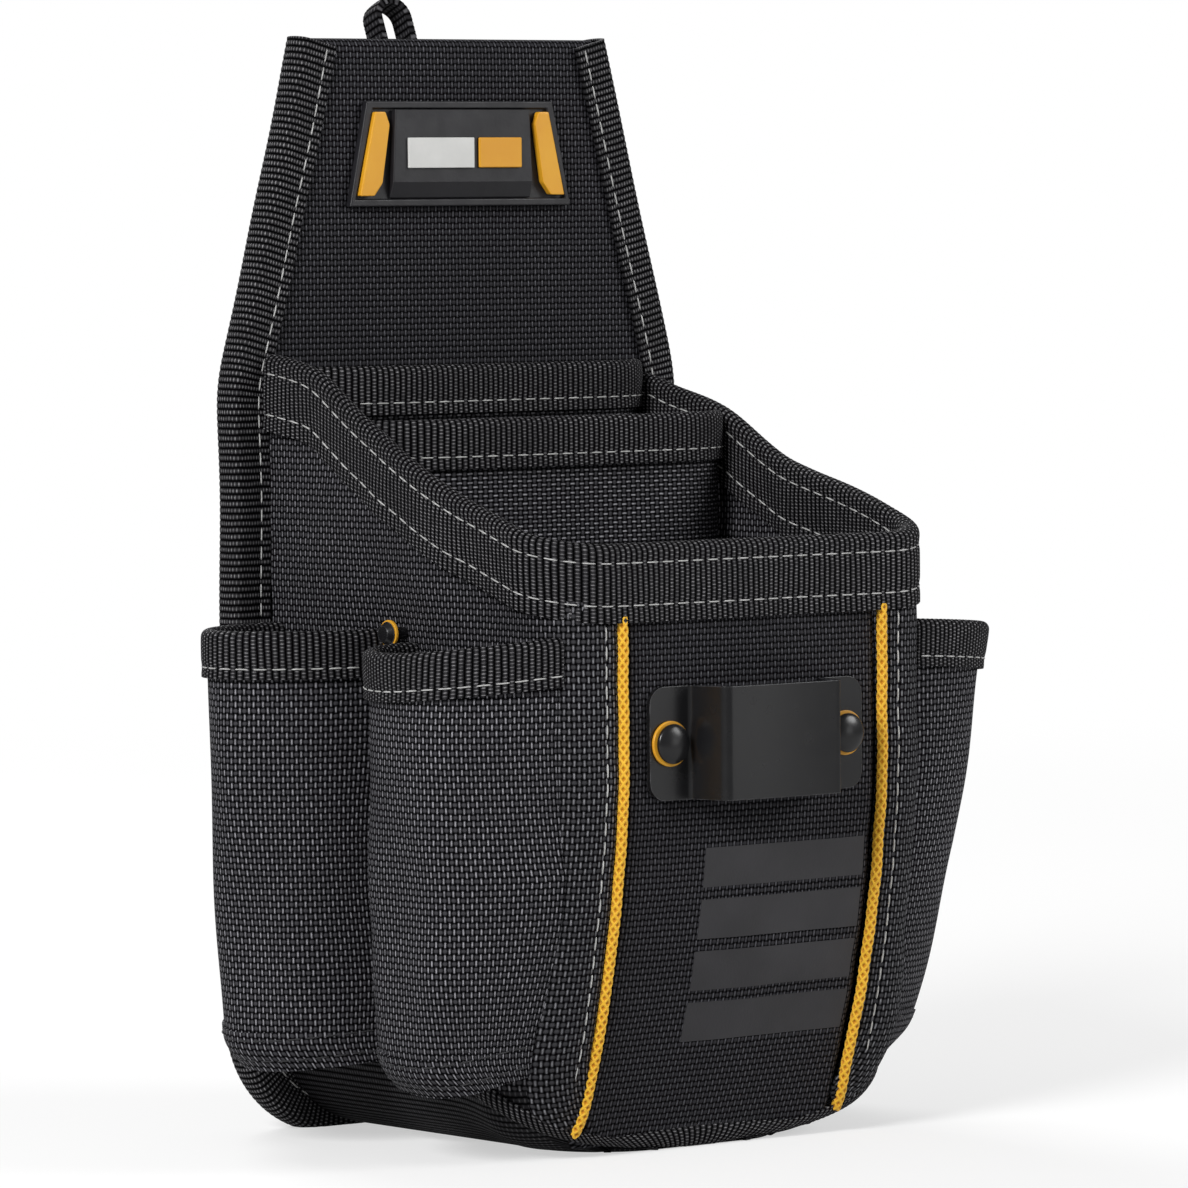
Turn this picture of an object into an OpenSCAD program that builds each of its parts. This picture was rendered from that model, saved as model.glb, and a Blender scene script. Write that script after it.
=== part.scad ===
// Electrician tool pouch: a stiff back panel with a belt tunnel, an open-topped main pocket with
// two dividers, four side sleeves, a riveted tape clip and a webbing hang loop.
// Frame: x = 0 is the centre, y = 0 the front face of the back panel (-Y is the front), z = 0 the floor.

/* [Back panel] */
// Height of the back panel's top edge above the floor
pouch_h = 268; // [255:1:280]
// Width of the back panel at its top edge
top_w = 92; // [86:1:98]
// Full width of the back panel, edge tape included
back_w = 137; // [134:1:142]
// Height where the straight taper of the back panel ends
shoulder_z = 183; // [175:1:190]
// Radius of the back panel's lower corners
back_corner_r = 27; // [22:1:30]
// Width of the edge tape on each face
tape_w = 12; // [10:1:13]
// Thickness of all woven tape
tape_t = 1; // [0.8:0.1:1.2]

/* [Main pocket] */
// Width of the pocket at the back panel
pocket_back_w = 124; // [121:1:130]
// Width of the pocket at its front corners
pocket_front_w = 119; // [116:1:122]
// Depth from the back panel to the front face
pocket_d = 114; // [110:1:118]
// How far the front face leans back at the floor
front_lean = 22; // [14:1:24]
// Height up to which the front face leans
lean_z = 100; // [90:1:110]
// Plan radius of the front corners
front_r = 16; // [12:1:18]
// Radius of the rounded lower side edges
bottom_r = 30; // [24:1:32]
// Wall thickness of fabric, foam and lining together
wall = 2; // [1.6:0.1:2.4]
// Rim height at the front
rim_front_z = 146.5; // [142:0.5:150]
// Rise of the rim from the front to the back panel
rim_rise = 40; // [34:1:42]
// Height of the folded collar webbing
collar_h = 18; // [16:1:19]
// Half width of the front panel, from centre to cord
front_half = 40; // [36:1:42]
// Radius of the coloured cord
cord_r = 1.3; // [1:0.1:1.5]

/* [Dividers] */
// Distance of the rear divider from the back panel
rear_divider_y = 14; // [12:0.5:16]
// Height of the rear divider
rear_divider_z = 187; // [184:0.5:192]
// Width of the rear divider
rear_divider_w = 115; // [108:1:118]
// Distance of the middle divider from the back panel
middle_divider_y = 46; // [42:0.5:50]
// Height of the middle divider
middle_divider_z = 174.5; // [170:0.5:178]
// Width of the middle divider
middle_divider_w = 113; // [106:1:114]

/* [Side sleeves] */
// How far the rear sleeves stand out from the pocket side
rear_sleeve_out = 30; // [22:1:32]
// How far the left front sleeve stands out from the pocket side
left_front_sleeve_out = 24; // [21:1:30]
// How far the right front sleeve stands out from the pocket side
right_front_sleeve_out = 32; // [26:1:34]
// Rim height of the rear sleeves
rear_sleeve_z = 125; // [118:1:127]
// Rim height of the front sleeves
front_sleeve_z = 122; // [116:1:124]
// Height of the sleeves' lower hem above the floor
sleeve_hem_z = 18; // [15:1:24]
// Height of the tape on the sleeve rims
sleeve_tape_h = 11; // [9:1:12]
// Thickness of the sleeve fabric
sleeve_t = 1.4; // [1:0.1:1.8]

/* [Tape clip] */
// Width of the clip plate
clip_w = 66; // [62:1:68]
// Height of the clip plate
clip_h = 27; // [24:1:30]
// Height of the clip's lower edge above the floor
clip_z = 86; // [84:1:92]
// Sideways place of the clip
clip_x = 0; // [-3:1:3]
// Width of the raised bridge
bridge_w = 40; // [38:1:42]
// Inside height of the raised bridge
bridge_gap = 8; // [6:0.5:9]
// Sheet thickness of the clip
sheet_t = 1.4; // [1.2:0.1:1.6]
// Distance between the two clip rivets
rivet_pitch = 54; // [52:1:55]
// Radius of the rivet heads
rivet_r = 4.6; // [4:0.1:5]

/* [Belt tunnel] */
// Width of the belt tunnel
tunnel_w = 78; // [70:1:80]
// Inside height of the belt tunnel, for the belt's width
tunnel_h = 66; // [58:1:68]
// Inside depth of the belt tunnel
tunnel_d = 11; // [9:0.5:12]
// Height of the belt tunnel's inside floor
tunnel_z = 158; // [152:1:160]

/* [Hang loop] */
// Sideways place of the hang loop
loop_x = -9; // [-14:1:0]
// Outside radius of the loop's arch
loop_r = 5.6; // [5:0.1:6.5]
// Width of the loop's tape
loop_w = 6.5; // [5:0.5:7]
// Length of the loop from its sewn line to the arch centre
loop_len = 18; // [16:0.5:19]
// Lean of the loop away from the panel at rest
loop_lean = 22; // [20:1:26]

/* [Hidden] */

// Clearance kept between neighbouring sewn layers
gap = 0.25;
// A length longer than any part, for cutting zones
far = 400;
// Thickness of one fabric layer of the back panel
panel_t = 2;
// Thickness of the stiffener board
board_t = 1.2;
// Depth of the three sewn layers of the back panel
panel_stack = 2 * panel_t + board_t + 2 * gap;
// Plane in front of the edge tape, where the pocket's own pieces begin
pocket_y = -(gap + tape_t + gap);
// Height of the centre of the rounded lower side edges
round_z = bottom_r;
// Height of the tallest ring of the pocket block
block_top = 215;
// Steps around each quarter round
arc_steps = 6;
// Steps up the leaning front face
lean_steps = 7;
// Gap in the shell that the cord lies in, measured each side of the cord's centre
cord_half_gap = cord_r + gap;
// Depth of the seam between corner strip and gusset behind the front face: halfway round the corner
strip_back = front_r * (1 - sin(45));
// Height above the floor at which the bottom panel takes over from the gussets
bottom_split_z = 20;
// Height of the tape along the front lower seam
seam_tape_h = 7;
// How far that tape reaches back past the corner strips' seam
seam_tape_back = 12;
// Sideways centres of the sleeves at the pocket side, and their places and half lengths along it
rear_sleeve_x = 62;
rear_sleeve_y = -26;
rear_sleeve_half = 21.8;
front_sleeve_x = 60;
front_sleeve_y = -83;
front_sleeve_half = 26.8;
// How much less the sleeves stand out at their hems
sleeve_taper = 3;
// Place of the rivet between the two sleeves of a side
side_rivet_y = -52.5;
side_rivet_z = 124.5;
// Radius of the side rivets' washers, smaller than the clip's
side_rivet_r = 3.3;
// Radius of the shanks of the clip's rivets and of their holes
shank_r = 1.7;
hole_r = 1.9;
// Radius of the shanks of the side rivets and of their holes
side_shank_r = 1.5;
side_hole_r = 1.7;
// Thickness of the coloured washers
washer_t = 0.8;
// Hinge line of the hang loop: the sewn line behind the panel's top
loop_z = 256;
loop_y = panel_stack + 3.2;
// Thickness of the loop's doubled tape
loop_t = 1.8;
// Length of the pinched tape next to the sewn line
loop_neck = 4;
// Thickness of the collar's webbing, which is also its height above the cut edge it wraps
collar_t = 1.2;
// Colours
NYLON = [0.14, 0.14, 0.16];
TAPE = [0.10, 0.10, 0.11];
YELLOW = [0.92, 0.65, 0.10];
STEEL = [0.06, 0.06, 0.06];

// ---------- shared shapes ----------

// Lean of the front face: depth of the pocket at height z
function depth(z) = pocket_d - front_lean * pow(1 - min(z, lean_z) / lean_z, 2);

// Half width lost to the rounded lower side edges at height z, for a shell inset by i
function edge_loss(z, i) = z >= round_z ? i
    : bottom_r - sqrt(max(0, pow(bottom_r - i, 2) - pow(round_z - z, 2)));

// Height of the pocket's rim at distance d in front of the back panel
function rim_z(d) = rim_front_z + rim_rise * pow(max(0, 1 - d / pocket_d), 1.25);

// Plan outline of the pocket at height z, inset by i and reaching back to the depth y
function pocket_ring(z, i, y) =
    let (loss = edge_loss(z, i), r = front_r - i, d = depth(z),
         back = pocket_back_w / 2 - loss, front = pocket_front_w / 2 - loss)
    concat(
        [[-back, y]],
        [for (k = [0 : arc_steps]) let (a = 90 * k / arc_steps)
            [-(front - r) - r * cos(a), -(d - front_r) - r * sin(a)]],
        [for (k = [arc_steps : -1 : 0]) let (a = 90 * k / arc_steps)
            [(front - r) + r * cos(a), -(d - front_r) - r * sin(a)]],
        [[back, y]]);

// Closed body through convex plan outlines at rising heights
module loft(outlines, heights) {
    thin = 0.01;
    for (j = [0 : len(heights) - 2]) hull() {
        translate([0, 0, heights[j]]) linear_extrude(thin) polygon(outlines[j]);
        translate([0, 0, heights[j + 1]]) linear_extrude(thin) polygon(outlines[j + 1]);
    }
}

// The whole pocket as a solid block, inset by i (a negative i makes it bigger)
module pocket_block(i, back_y = pocket_y) {
    low = [for (k = [0 : lean_steps]) let (a = 90 * k / lean_steps)
        round_z - (bottom_r - i) * cos(a)];
    high = [for (k = [1 : lean_steps]) round_z + (lean_z - round_z) * k / lean_steps];
    heights = concat(low, high, [block_top]);
    loft([for (z = heights) pocket_ring(z, i, back_y)], heights);
}

// Fabric shell between two insets of the pocket, open at the back, where the back panel closes it
module pocket_shell(outer, inner, back_y = pocket_y) {
    difference() {
        pocket_block(outer, back_y);
        pocket_block(inner, back_y + 1);
    }
}

// Everything below the rim, moved up by dz
module below_rim(dz) {
    step = pocket_d / 14;
    rotate([90, 0, 90]) translate([0, 0, -far / 2]) linear_extrude(far)
        polygon(concat(
            [[10, -10], [10, rim_z(0) + dz]],
            [for (d = [0 : step : pocket_d + 1]) [-d, rim_z(d) + dz]],
            [[-pocket_d - 20, rim_front_z + dz], [-pocket_d - 20, -10]]));
}

// Everything in front of the line where the corner strips meet the gussets, moved forward by dy
module front_of_seam(dy) {
    rotate([90, 0, 90]) translate([0, 0, -far / 2]) linear_extrude(far)
        polygon(concat(
            [for (k = [0 : 10]) let (z = lean_z * k / 10) [-(depth(z) - strip_back) - dy, z]],
            [[-(pocket_d - strip_back) - dy, far], [-far, far], [-far, 0]]));
}

// A slab across the object between two heights
module level(z0, z1) {
    translate([-far / 2, -far / 2, z0]) cube([far, far, z1 - z0]);
}

// A slab between two sideways places
module stripe(x0, x1) {
    translate([x0, -far / 2, -10]) cube([x1 - x0, far, far]);
}

// Outline of the back panel, inset by i, in its own plane
module panel_outline(i) {
    lean = (back_w - top_w) / 2 / (pouch_h - shoulder_z);
    top = top_w / 2 - i * sqrt(1 + lean * lean);
    half = back_w / 2 - i;
    corner_x = back_w / 2 - back_corner_r;
    corner_z = back_corner_r;
    r = back_corner_r - i;
    polygon(concat(
        [[-top, pouch_h], [-half, shoulder_z]],
        [for (k = [0 : 8]) let (a = 90 * k / 8) [-corner_x - r * cos(a), corner_z - r * sin(a)]],
        [for (k = [8 : -1 : 0]) let (a = 90 * k / 8) [corner_x + r * cos(a), corner_z - r * sin(a)]],
        [[half, shoulder_z], [top, pouch_h]]));
}

// A flat layer of the back panel between two depths
module panel_layer(i, y0, y1) {
    translate([0, y1, 0]) rotate([90, 0, 0]) linear_extrude(y1 - y0) panel_outline(i);
}

// ---------- back panel and its parts ----------

// Front face of woven nylon
module back_panel() {
    color(NYLON) panel_layer(tape_t + gap, 0, panel_t);
}

// Hidden plastic board that keeps the back panel flat
module back_stiffener() {
    board_inset = 5;
    color([0.75, 0.75, 0.72]) panel_layer(board_inset, panel_t + gap, panel_t + gap + board_t);
}

// Rear lining of woven nylon
module rear_panel() {
    color(NYLON) panel_layer(tape_t + gap, panel_stack - panel_t, panel_stack);
}

// One long folded tape down one side, along the bottom and up the other side
module edge_tape() {
    color(TAPE) difference() {
        panel_layer(0, -gap - tape_t, panel_stack + gap + tape_t);
        panel_layer(tape_w, -far / 2, far / 2);
        panel_layer(tape_t, -gap, panel_stack + gap);
    }
}

// Webbing sewn above and below, standing off the rear lining to take a belt
module belt_tunnel() {
    t = 1.6;
    flange = 11;
    y0 = panel_stack + gap;
    y1 = y0 + tunnel_d;
    z0 = tunnel_z;
    z1 = tunnel_z + tunnel_h;
    slope = 6;
    color(TAPE) translate([-tunnel_w / 2, 0, 0]) rotate([90, 0, 90]) linear_extrude(tunnel_w)
        polygon([[y0, z0 - flange], [y0 + t, z0 - flange], [y0 + t, z0 - t], [y1, z0 + slope - t],
                 [y1 + t, z0 + slope], [y1 + t, z1 - slope], [y1, z1 - slope + t], [y0 + t, z1 + t],
                 [y0 + t, z1 + flange], [y0, z1 + flange], [y0, z1], [y1, z1 - slope],
                 [y1, z0 + slope], [y0, z0]]);
}

// Bar-tacked root of the hang loop, flat against the rear lining
module hang_loop_root() {
    root_h = 14;
    root_t = 2.8;
    root_clear = 1.6;
    color(TAPE) translate([loop_x - loop_r, panel_stack + gap, loop_z - root_clear - root_h])
        cube([2 * loop_r, root_t, root_h]);
}

// Webbing arch that leans back from its sewn line
module hang_loop() {
    neck_t = 1.2;
    color(TAPE) translate([loop_x, loop_y, loop_z]) rotate([-loop_lean, 0, 0]) {
        difference() {
            union() {
                translate([0, loop_w / 2, loop_len]) rotate([90, 0, 0])
                    cylinder(h = loop_w, r = loop_r);
                translate([-loop_r, -loop_w / 2, loop_neck])
                    cube([2 * loop_r, loop_w, loop_len - loop_neck]);
            }
            translate([0, loop_w, loop_len]) rotate([90, 0, 0])
                cylinder(h = 2 * loop_w, r = loop_r - loop_t);
            translate([-(loop_r - loop_t), -loop_w, 0])
                cube([2 * (loop_r - loop_t), 2 * loop_w, loop_len]);
        }
        for (side = [-1, 1]) translate([side * (loop_r - loop_t / 2) - loop_t / 2, -neck_t, 0])
            cube([loop_t, 2 * neck_t, loop_neck + 1]);
        translate([-loop_r, 0, 0]) rotate([0, 90, 0]) cylinder(h = 2 * loop_r, r = neck_t);
    }
}

// ---------- label ----------

label_z = 226.5;
label_h = 26;
label_bottom_half = 34.5;
label_top_half = 29;
// Width and height of the raised frame around the label, and the floor inside it
label_frame = 1.8;
label_t = 2.2;
label_floor = 1.2;
// Plane of the raised plate's face, and how far the bars stand above it
plate_face = 3.2;
bar_out = 0.7;
// Lower edge and height of the two plain bars that stand side by side on the plate
bar_z = label_z + 9.5;
bar_h = 7.5;

// Trapezoid of the label inset by i, from depth y0 to y1 in front of the back panel
module label_slab(i, y0, y1) {
    translate([0, -y0, 0]) rotate([90, 0, 0]) linear_extrude(y1 - y0)
        polygon([[-label_bottom_half + i, label_z + i], [label_bottom_half - i, label_z + i],
                 [label_top_half - i, label_z + label_h - i], [-label_top_half + i, label_z + label_h - i]]);
}

// Soft moulded base with a raised frame
module label_base() {
    color([0.2, 0.2, 0.22]) difference() {
        label_slab(0, gap, label_t);
        label_slab(label_frame, label_floor, 2 * label_t);
    }
}

// Raised plate in the middle, with a chamfered lower edge
module label_plate() {
    half_low = 22;
    half_top = 21;
    z0 = label_z + label_frame + gap;
    z1 = label_z + label_h - label_frame - gap;
    chamfer = 4;
    lip = 1.8;
    back = label_floor + gap;
    color([0.23, 0.23, 0.25]) intersection() {
        translate([0, -back, 0]) rotate([90, 0, 0]) linear_extrude(plate_face - back)
            polygon([[-half_low, z0], [half_low, z0], [half_top, z1], [-half_top, z1]]);
        rotate([90, 0, 90]) translate([0, 0, -far / 2]) linear_extrude(far)
            polygon([[0, z0], [-lip, z0], [-plate_face, z0 + chamfer], [-plate_face, z1 + 1], [0, z1 + 1]]);
    }
}

// Raised bar on the plate between two sideways places
module plate_bar(x0, x1) {
    translate([x0, -plate_face - bar_out, bar_z]) cube([x1 - x0, bar_out - 0.02, bar_h]);
}

// Plain raised light bar
module label_light_bar() {
    color([0.85, 0.85, 0.83]) plate_bar(-17.5, 3);
}

// Slanted bars at both ends and a plain short bar beside the light one
module label_yellow_bars() {
    inset = label_frame + gap + 0.6;
    z0 = label_z + inset;
    z1 = label_z + label_h - inset;
    end_bar_t = 1.7;
    color(YELLOW) {
        for (side = [-1, 1]) translate([0, -label_floor - gap, 0]) rotate([90, 0, 0]) linear_extrude(end_bar_t)
            polygon([[side * 32, z0], [side * 27.6, z0], [side * 25.2, z0 + 3], [side * 22.8, z1 - 3],
                     [side * 24, z1], [side * 27.2, z1]]);
        plate_bar(4.5, 18);
    }
}

// ---------- main pocket ----------

divider_t = 1.2;

// Upright divider sheet at distance d from the back panel
module divider(d, w, top) {
    floor_clear = wall + 3;
    color(NYLON) intersection() {
        translate([-w / 2 + gap, -d - divider_t / 2, 0]) cube([w - 2 * gap, divider_t, top - tape_t]);
        pocket_block(floor_clear);
    }
}

// Folded tape over the top of a divider
module divider_tape(d, w, top) {
    h = 11.5;
    half_slot = divider_t / 2 + gap;
    half_t = half_slot + tape_t;
    color(TAPE) difference() {
        translate([-w / 2, -d - half_t, top - h]) cube([w, 2 * half_t, h]);
        translate([-w, -d - half_slot, top - h - 1]) cube([2 * w, 2 * half_slot, h + 1 - tape_t + gap]);
    }
}
module rear_divider() { divider(rear_divider_y, rear_divider_w, rear_divider_z); }
module rear_divider_tape() { divider_tape(rear_divider_y, rear_divider_w, rear_divider_z); }
module middle_divider() { divider(middle_divider_y, middle_divider_w, middle_divider_z); }
module middle_divider_tape() { divider_tape(middle_divider_y, middle_divider_w, middle_divider_z); }

// Side wall between the back panel and the corner strip
module gusset(side) {
    color(NYLON) difference() {
        intersection() {
            pocket_shell(0, wall);
            below_rim(-collar_t);
            level(bottom_split_z + gap, far);
            if (side < 0) stripe(-far, -5); else stripe(5, far);
        }
        front_of_seam(-gap);
        translate([-far / 2, side_rivet_y, side_rivet_z]) rotate([0, 90, 0])
            cylinder(h = far, r = side_hole_r, $fn = 24);
    }
}
module left_gusset() { gusset(-1); }
module right_gusset() { gusset(1); }

// Strip of the front piece that wraps around a front corner
module corner_strip(side) {
    inner = front_half + cord_half_gap;
    color(NYLON) intersection() {
        pocket_shell(0, wall);
        below_rim(-collar_t);
        front_of_seam(0);
        level(wall + gap, far);
        if (side < 0) stripe(-far, -inner); else stripe(inner, far);
    }
}
module left_corner_strip() { corner_strip(-1); }
module right_corner_strip() { corner_strip(1); }

// Front face between the two cords, with holes for the clip's rivets
module front_panel() {
    half = front_half - cord_half_gap;
    color(NYLON) difference() {
        intersection() {
            pocket_shell(0, wall);
            below_rim(-collar_t);
            front_of_seam(0);
            level(wall + gap, far);
            stripe(-half, half);
        }
        at_clip_rivets() cylinder(h = far, r = hole_r, center = true, $fn = 24);
    }
}

// Ribbed floor that turns up at the sides below the gussets
module bottom_panel() {
    color(TAPE) difference() {
        intersection() {
            pocket_shell(0, wall);
            level(-1, bottom_split_z);
        }
        intersection() {
            front_of_seam(-gap);
            level(wall, far);
        }
    }
}

// Wide webbing folded over the rim
module collar() {
    color(TAPE) difference() {
        intersection() {
            pocket_shell(-gap - collar_t, wall + gap + collar_t);
            below_rim(0);
        }
        below_rim(-collar_h);
        intersection() {
            pocket_shell(-gap, wall + gap, pocket_y + 1);
            below_rim(-collar_t + gap);
        }
    }
}

// Tape over the seam along the front lower edge
module front_seam_tape() {
    color(TAPE) intersection() {
        pocket_shell(-gap - collar_t, -gap);
        front_of_seam(-seam_tape_back);
        level(0, seam_tape_h);
    }
}

// Coloured cord in the seam beside the front panel
module cord(side) {
    end_gap = 0.6;
    stands_out = 0.3;
    top_z = rim_front_z - collar_h - end_gap;
    low_z = 11.6;
    steps = 16;
    sides = 10;
    heights = [for (j = [0 : steps]) low_z + (top_z - low_z) * j / steps];
    color(YELLOW) loft([for (z = heights) [for (k = [0 : sides - 1]) let (a = 360 * k / sides)
        [side * front_half + cord_r * cos(a), -depth(z) - stands_out + cord_r * sin(a)]]], heights);
}
module left_cord() { cord(-1); }
module right_cord() { cord(1); }

// Plain printed bars low on the front panel
module front_print() {
    print_x = 11;
    print_w = 50;
    print_h = 9.5;
    pitch = 12.5;
    bars = 4;
    low_z = 27;
    ink_low = 0.15;
    ink_top = 0.5;
    color([0.05, 0.05, 0.06]) intersection() {
        pocket_shell(-ink_top, -ink_low);
        union() for (k = [0 : bars - 1]) translate([print_x - print_w / 2, -far / 2, low_z + k * pitch])
            cube([print_w, far / 2 - pocket_d / 2, print_h]);
    }
}

// ---------- tape clip ----------

// Front plane of the clip's back face
clip_y = -pocket_d - gap;
// Place of the rivets in height
rivet_z = clip_z + clip_h / 2;

// Puts its children at both clip rivets, pointing out of the front
module at_clip_rivets() {
    for (side = [-1, 1]) translate([clip_x + side * rivet_pitch / 2, clip_y, rivet_z])
        rotate([90, 0, 0]) children();
}

// Hat-section strap of black sheet metal
module tape_clip() {
    w = clip_w / 2;
    foot = bridge_w / 2;
    crown = foot - 2.5;
    out = bridge_gap + sheet_t;
    color(STEEL) difference() {
        translate([clip_x, clip_y, clip_z]) linear_extrude(clip_h)
            polygon([[-w, 0], [-foot, 0], [-crown + sheet_t, -bridge_gap], [crown - sheet_t, -bridge_gap],
                     [foot, 0], [w, 0], [w, -sheet_t], [foot + 1, -sheet_t], [crown, -out + 1],
                     [crown - 1, -out], [-crown + 1, -out], [-crown, -out + 1], [-foot - 1, -sheet_t],
                     [-w, -sheet_t]]);
        at_clip_rivets() cylinder(h = far, r = hole_r, center = true);
    }
}

// Coloured washers under the rivet heads
module clip_rivet_washers() {
    rim = 0.8;
    color(YELLOW) at_clip_rivets() translate([0, 0, sheet_t + 0.1]) difference() {
        cylinder(h = washer_t, r = rivet_r + rim);
        translate([0, 0, -1]) cylinder(h = washer_t + 2, r = hole_r);
    }
}

// Domed rivets through the clip and the front panel
module clip_rivets() {
    head_z = sheet_t + washer_t + 0.2;
    dome_h = 2;
    tail = wall + gap + 2.2;
    color(STEEL) at_clip_rivets() {
        translate([0, 0, head_z]) cylinder(h = dome_h / 2, r = rivet_r);
        translate([0, 0, head_z + dome_h / 2 - 0.01])
            cylinder(h = dome_h / 2, r1 = rivet_r, r2 = rivet_r - 1.4);
        translate([0, 0, -tail]) cylinder(h = tail + head_z + 0.1, r = shank_r);
    }
}

// Washers that spread the rivets' load inside the pocket
module rivet_backing_washers() {
    t = 1;
    color([0.55, 0.55, 0.53]) at_clip_rivets() translate([0, 0, -wall - 2 * gap - t]) difference() {
        cylinder(h = t, r = 5.5);
        translate([0, 0, -1]) cylinder(h = t + 2, r = hole_r);
    }
}

// ---------- side sleeves ----------

// Plan outline of a sleeve at height z, inset by i: a half ellipse closed at the pocket side
function sleeve_ring(side, cx, cy, half, out, top, z, i) =
    let (reach = out - sleeve_taper * (top - z) / (top - sleeve_hem_z), inward = 8, steps = 16)
    concat(
        [for (k = [0 : steps]) let (a = -90 + 180 * k / steps)
            [side * (cx + (reach - i) * cos(a)), cy + (half - i) * sin(a)]],
        [[side * (cx - inward), cy + half - i], [side * (cx - inward), cy - half + i]]);

// Filled sleeve between two heights, inset by i
module sleeve_block(side, cx, cy, half, out, top, i, z0, z1) {
    heights = [z0, z1];
    loft([for (z = heights) sleeve_ring(side, cx, cy, half, out, top, z, i)], heights);
}

// Fabric sheet of one sleeve, open at both ends
module sleeve(side, cx, cy, half, out, top) {
    color(NYLON) difference() {
        sleeve_block(side, cx, cy, half, out, top, 0, sleeve_hem_z, top - tape_t);
        sleeve_block(side, cx, cy, half, out, top, sleeve_t, sleeve_hem_z - 1, top + 1);
        pocket_block(-gap);
    }
}

// Folded tape over the rim of one sleeve
module sleeve_tape(side, cx, cy, half, out, top) {
    low = top - sleeve_tape_h;
    color(TAPE) difference() {
        sleeve_block(side, cx, cy, half, out, top, -gap - tape_t, low, top);
        sleeve_block(side, cx, cy, half, out, top, sleeve_t + gap + tape_t, low - 1, top + 1);
        difference() {
            sleeve_block(side, cx, cy, half, out, top, -gap, low - 1, top - tape_t + gap);
            sleeve_block(side, cx, cy, half, out, top, sleeve_t + gap, low - 2, top + 1);
        }
        pocket_block(-gap);
    }
}

// How far the front sleeve of one side stands out
function front_sleeve_out(side) = side < 0 ? left_front_sleeve_out : right_front_sleeve_out;

// A rear or a front sleeve of one side, as fabric or as tape
module rear_sleeve(side) {
    sleeve(side, rear_sleeve_x, rear_sleeve_y, rear_sleeve_half, rear_sleeve_out, rear_sleeve_z);
}
module front_sleeve(side) {
    sleeve(side, front_sleeve_x, front_sleeve_y, front_sleeve_half, front_sleeve_out(side), front_sleeve_z);
}
module rear_tape(side) {
    sleeve_tape(side, rear_sleeve_x, rear_sleeve_y, rear_sleeve_half, rear_sleeve_out, rear_sleeve_z);
}
module front_tape(side) {
    sleeve_tape(side, front_sleeve_x, front_sleeve_y, front_sleeve_half, front_sleeve_out(side),
                front_sleeve_z);
}
module left_rear_sleeve() { rear_sleeve(-1); }
module left_front_sleeve() { front_sleeve(-1); }
module right_rear_sleeve() { rear_sleeve(1); }
module right_front_sleeve() { front_sleeve(1); }
module left_rear_sleeve_tape() { rear_tape(-1); }
module left_front_sleeve_tape() { front_tape(-1); }
module right_rear_sleeve_tape() { rear_tape(1); }
module right_front_sleeve_tape() { front_tape(1); }

// Outer face of the gusset at the side rivets
side_rivet_x = pocket_back_w / 2
    + (pocket_front_w - pocket_back_w) / 2 * (side_rivet_y - pocket_y) / (-(pocket_d - front_r) - pocket_y);

// Puts its children at the side rivets, pointing out of both sides
module at_side_rivets() {
    for (side = [-1, 1]) translate([side * (side_rivet_x + gap), side_rivet_y, side_rivet_z])
        rotate([0, side * 90, 0]) children();
}

// Coloured washers of the side rivets
module side_rivet_washers() {
    color(YELLOW) at_side_rivets() translate([0, 0, 0.4]) difference() {
        cylinder(h = washer_t, r = side_rivet_r);
        translate([0, 0, -1]) cylinder(h = washer_t + 2, r = side_hole_r);
    }
}

// Rivets that hold the top of the seam between the two sleeves of a side
module side_rivets() {
    color(STEEL) at_side_rivets() {
        translate([0, 0, 0.6 + washer_t]) cylinder(h = 1.4, r1 = side_rivet_r - 0.4, r2 = side_rivet_r - 1.4);
        translate([0, 0, -wall - 2]) cylinder(h = wall + 3.5, r = side_shank_r);
    }
}

back_panel();
back_stiffener();
rear_panel();
belt_tunnel();
edge_tape();
hang_loop_root();
hang_loop();
label_base();
label_plate();
label_light_bar();
label_yellow_bars();
rear_divider();
rear_divider_tape();
middle_divider();
middle_divider_tape();
left_gusset();
right_gusset();
left_corner_strip();
right_corner_strip();
front_panel();
bottom_panel();
collar();
front_seam_tape();
left_cord();
right_cord();
front_print();
tape_clip();
clip_rivets();
clip_rivet_washers();
rivet_backing_washers();
left_rear_sleeve();
left_front_sleeve();
right_rear_sleeve();
right_front_sleeve();
left_rear_sleeve_tape();
left_front_sleeve_tape();
right_rear_sleeve_tape();
right_front_sleeve_tape();
side_rivets();
side_rivet_washers();
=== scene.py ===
import math

import bpy
import bmesh
import numpy as np
from mathutils import Matrix, Vector


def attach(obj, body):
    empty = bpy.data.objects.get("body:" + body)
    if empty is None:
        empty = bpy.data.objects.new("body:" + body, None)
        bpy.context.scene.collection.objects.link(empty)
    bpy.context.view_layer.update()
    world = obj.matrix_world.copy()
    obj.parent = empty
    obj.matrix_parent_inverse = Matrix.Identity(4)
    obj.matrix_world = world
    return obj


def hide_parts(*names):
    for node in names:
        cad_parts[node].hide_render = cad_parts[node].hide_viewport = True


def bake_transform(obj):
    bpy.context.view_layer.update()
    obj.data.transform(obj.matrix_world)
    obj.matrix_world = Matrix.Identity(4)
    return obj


# Looks of the electrician tool pouch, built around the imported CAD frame.
# Lengths of the pouch are in millimetres until new_object makes them metres; the stage, the lights and
# the camera are in metres. The frame is the CAD's: x = 0 is the centre, y = 0 the front face of the back
# panel (-Y is the front) and z = 0 the floor.

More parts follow.
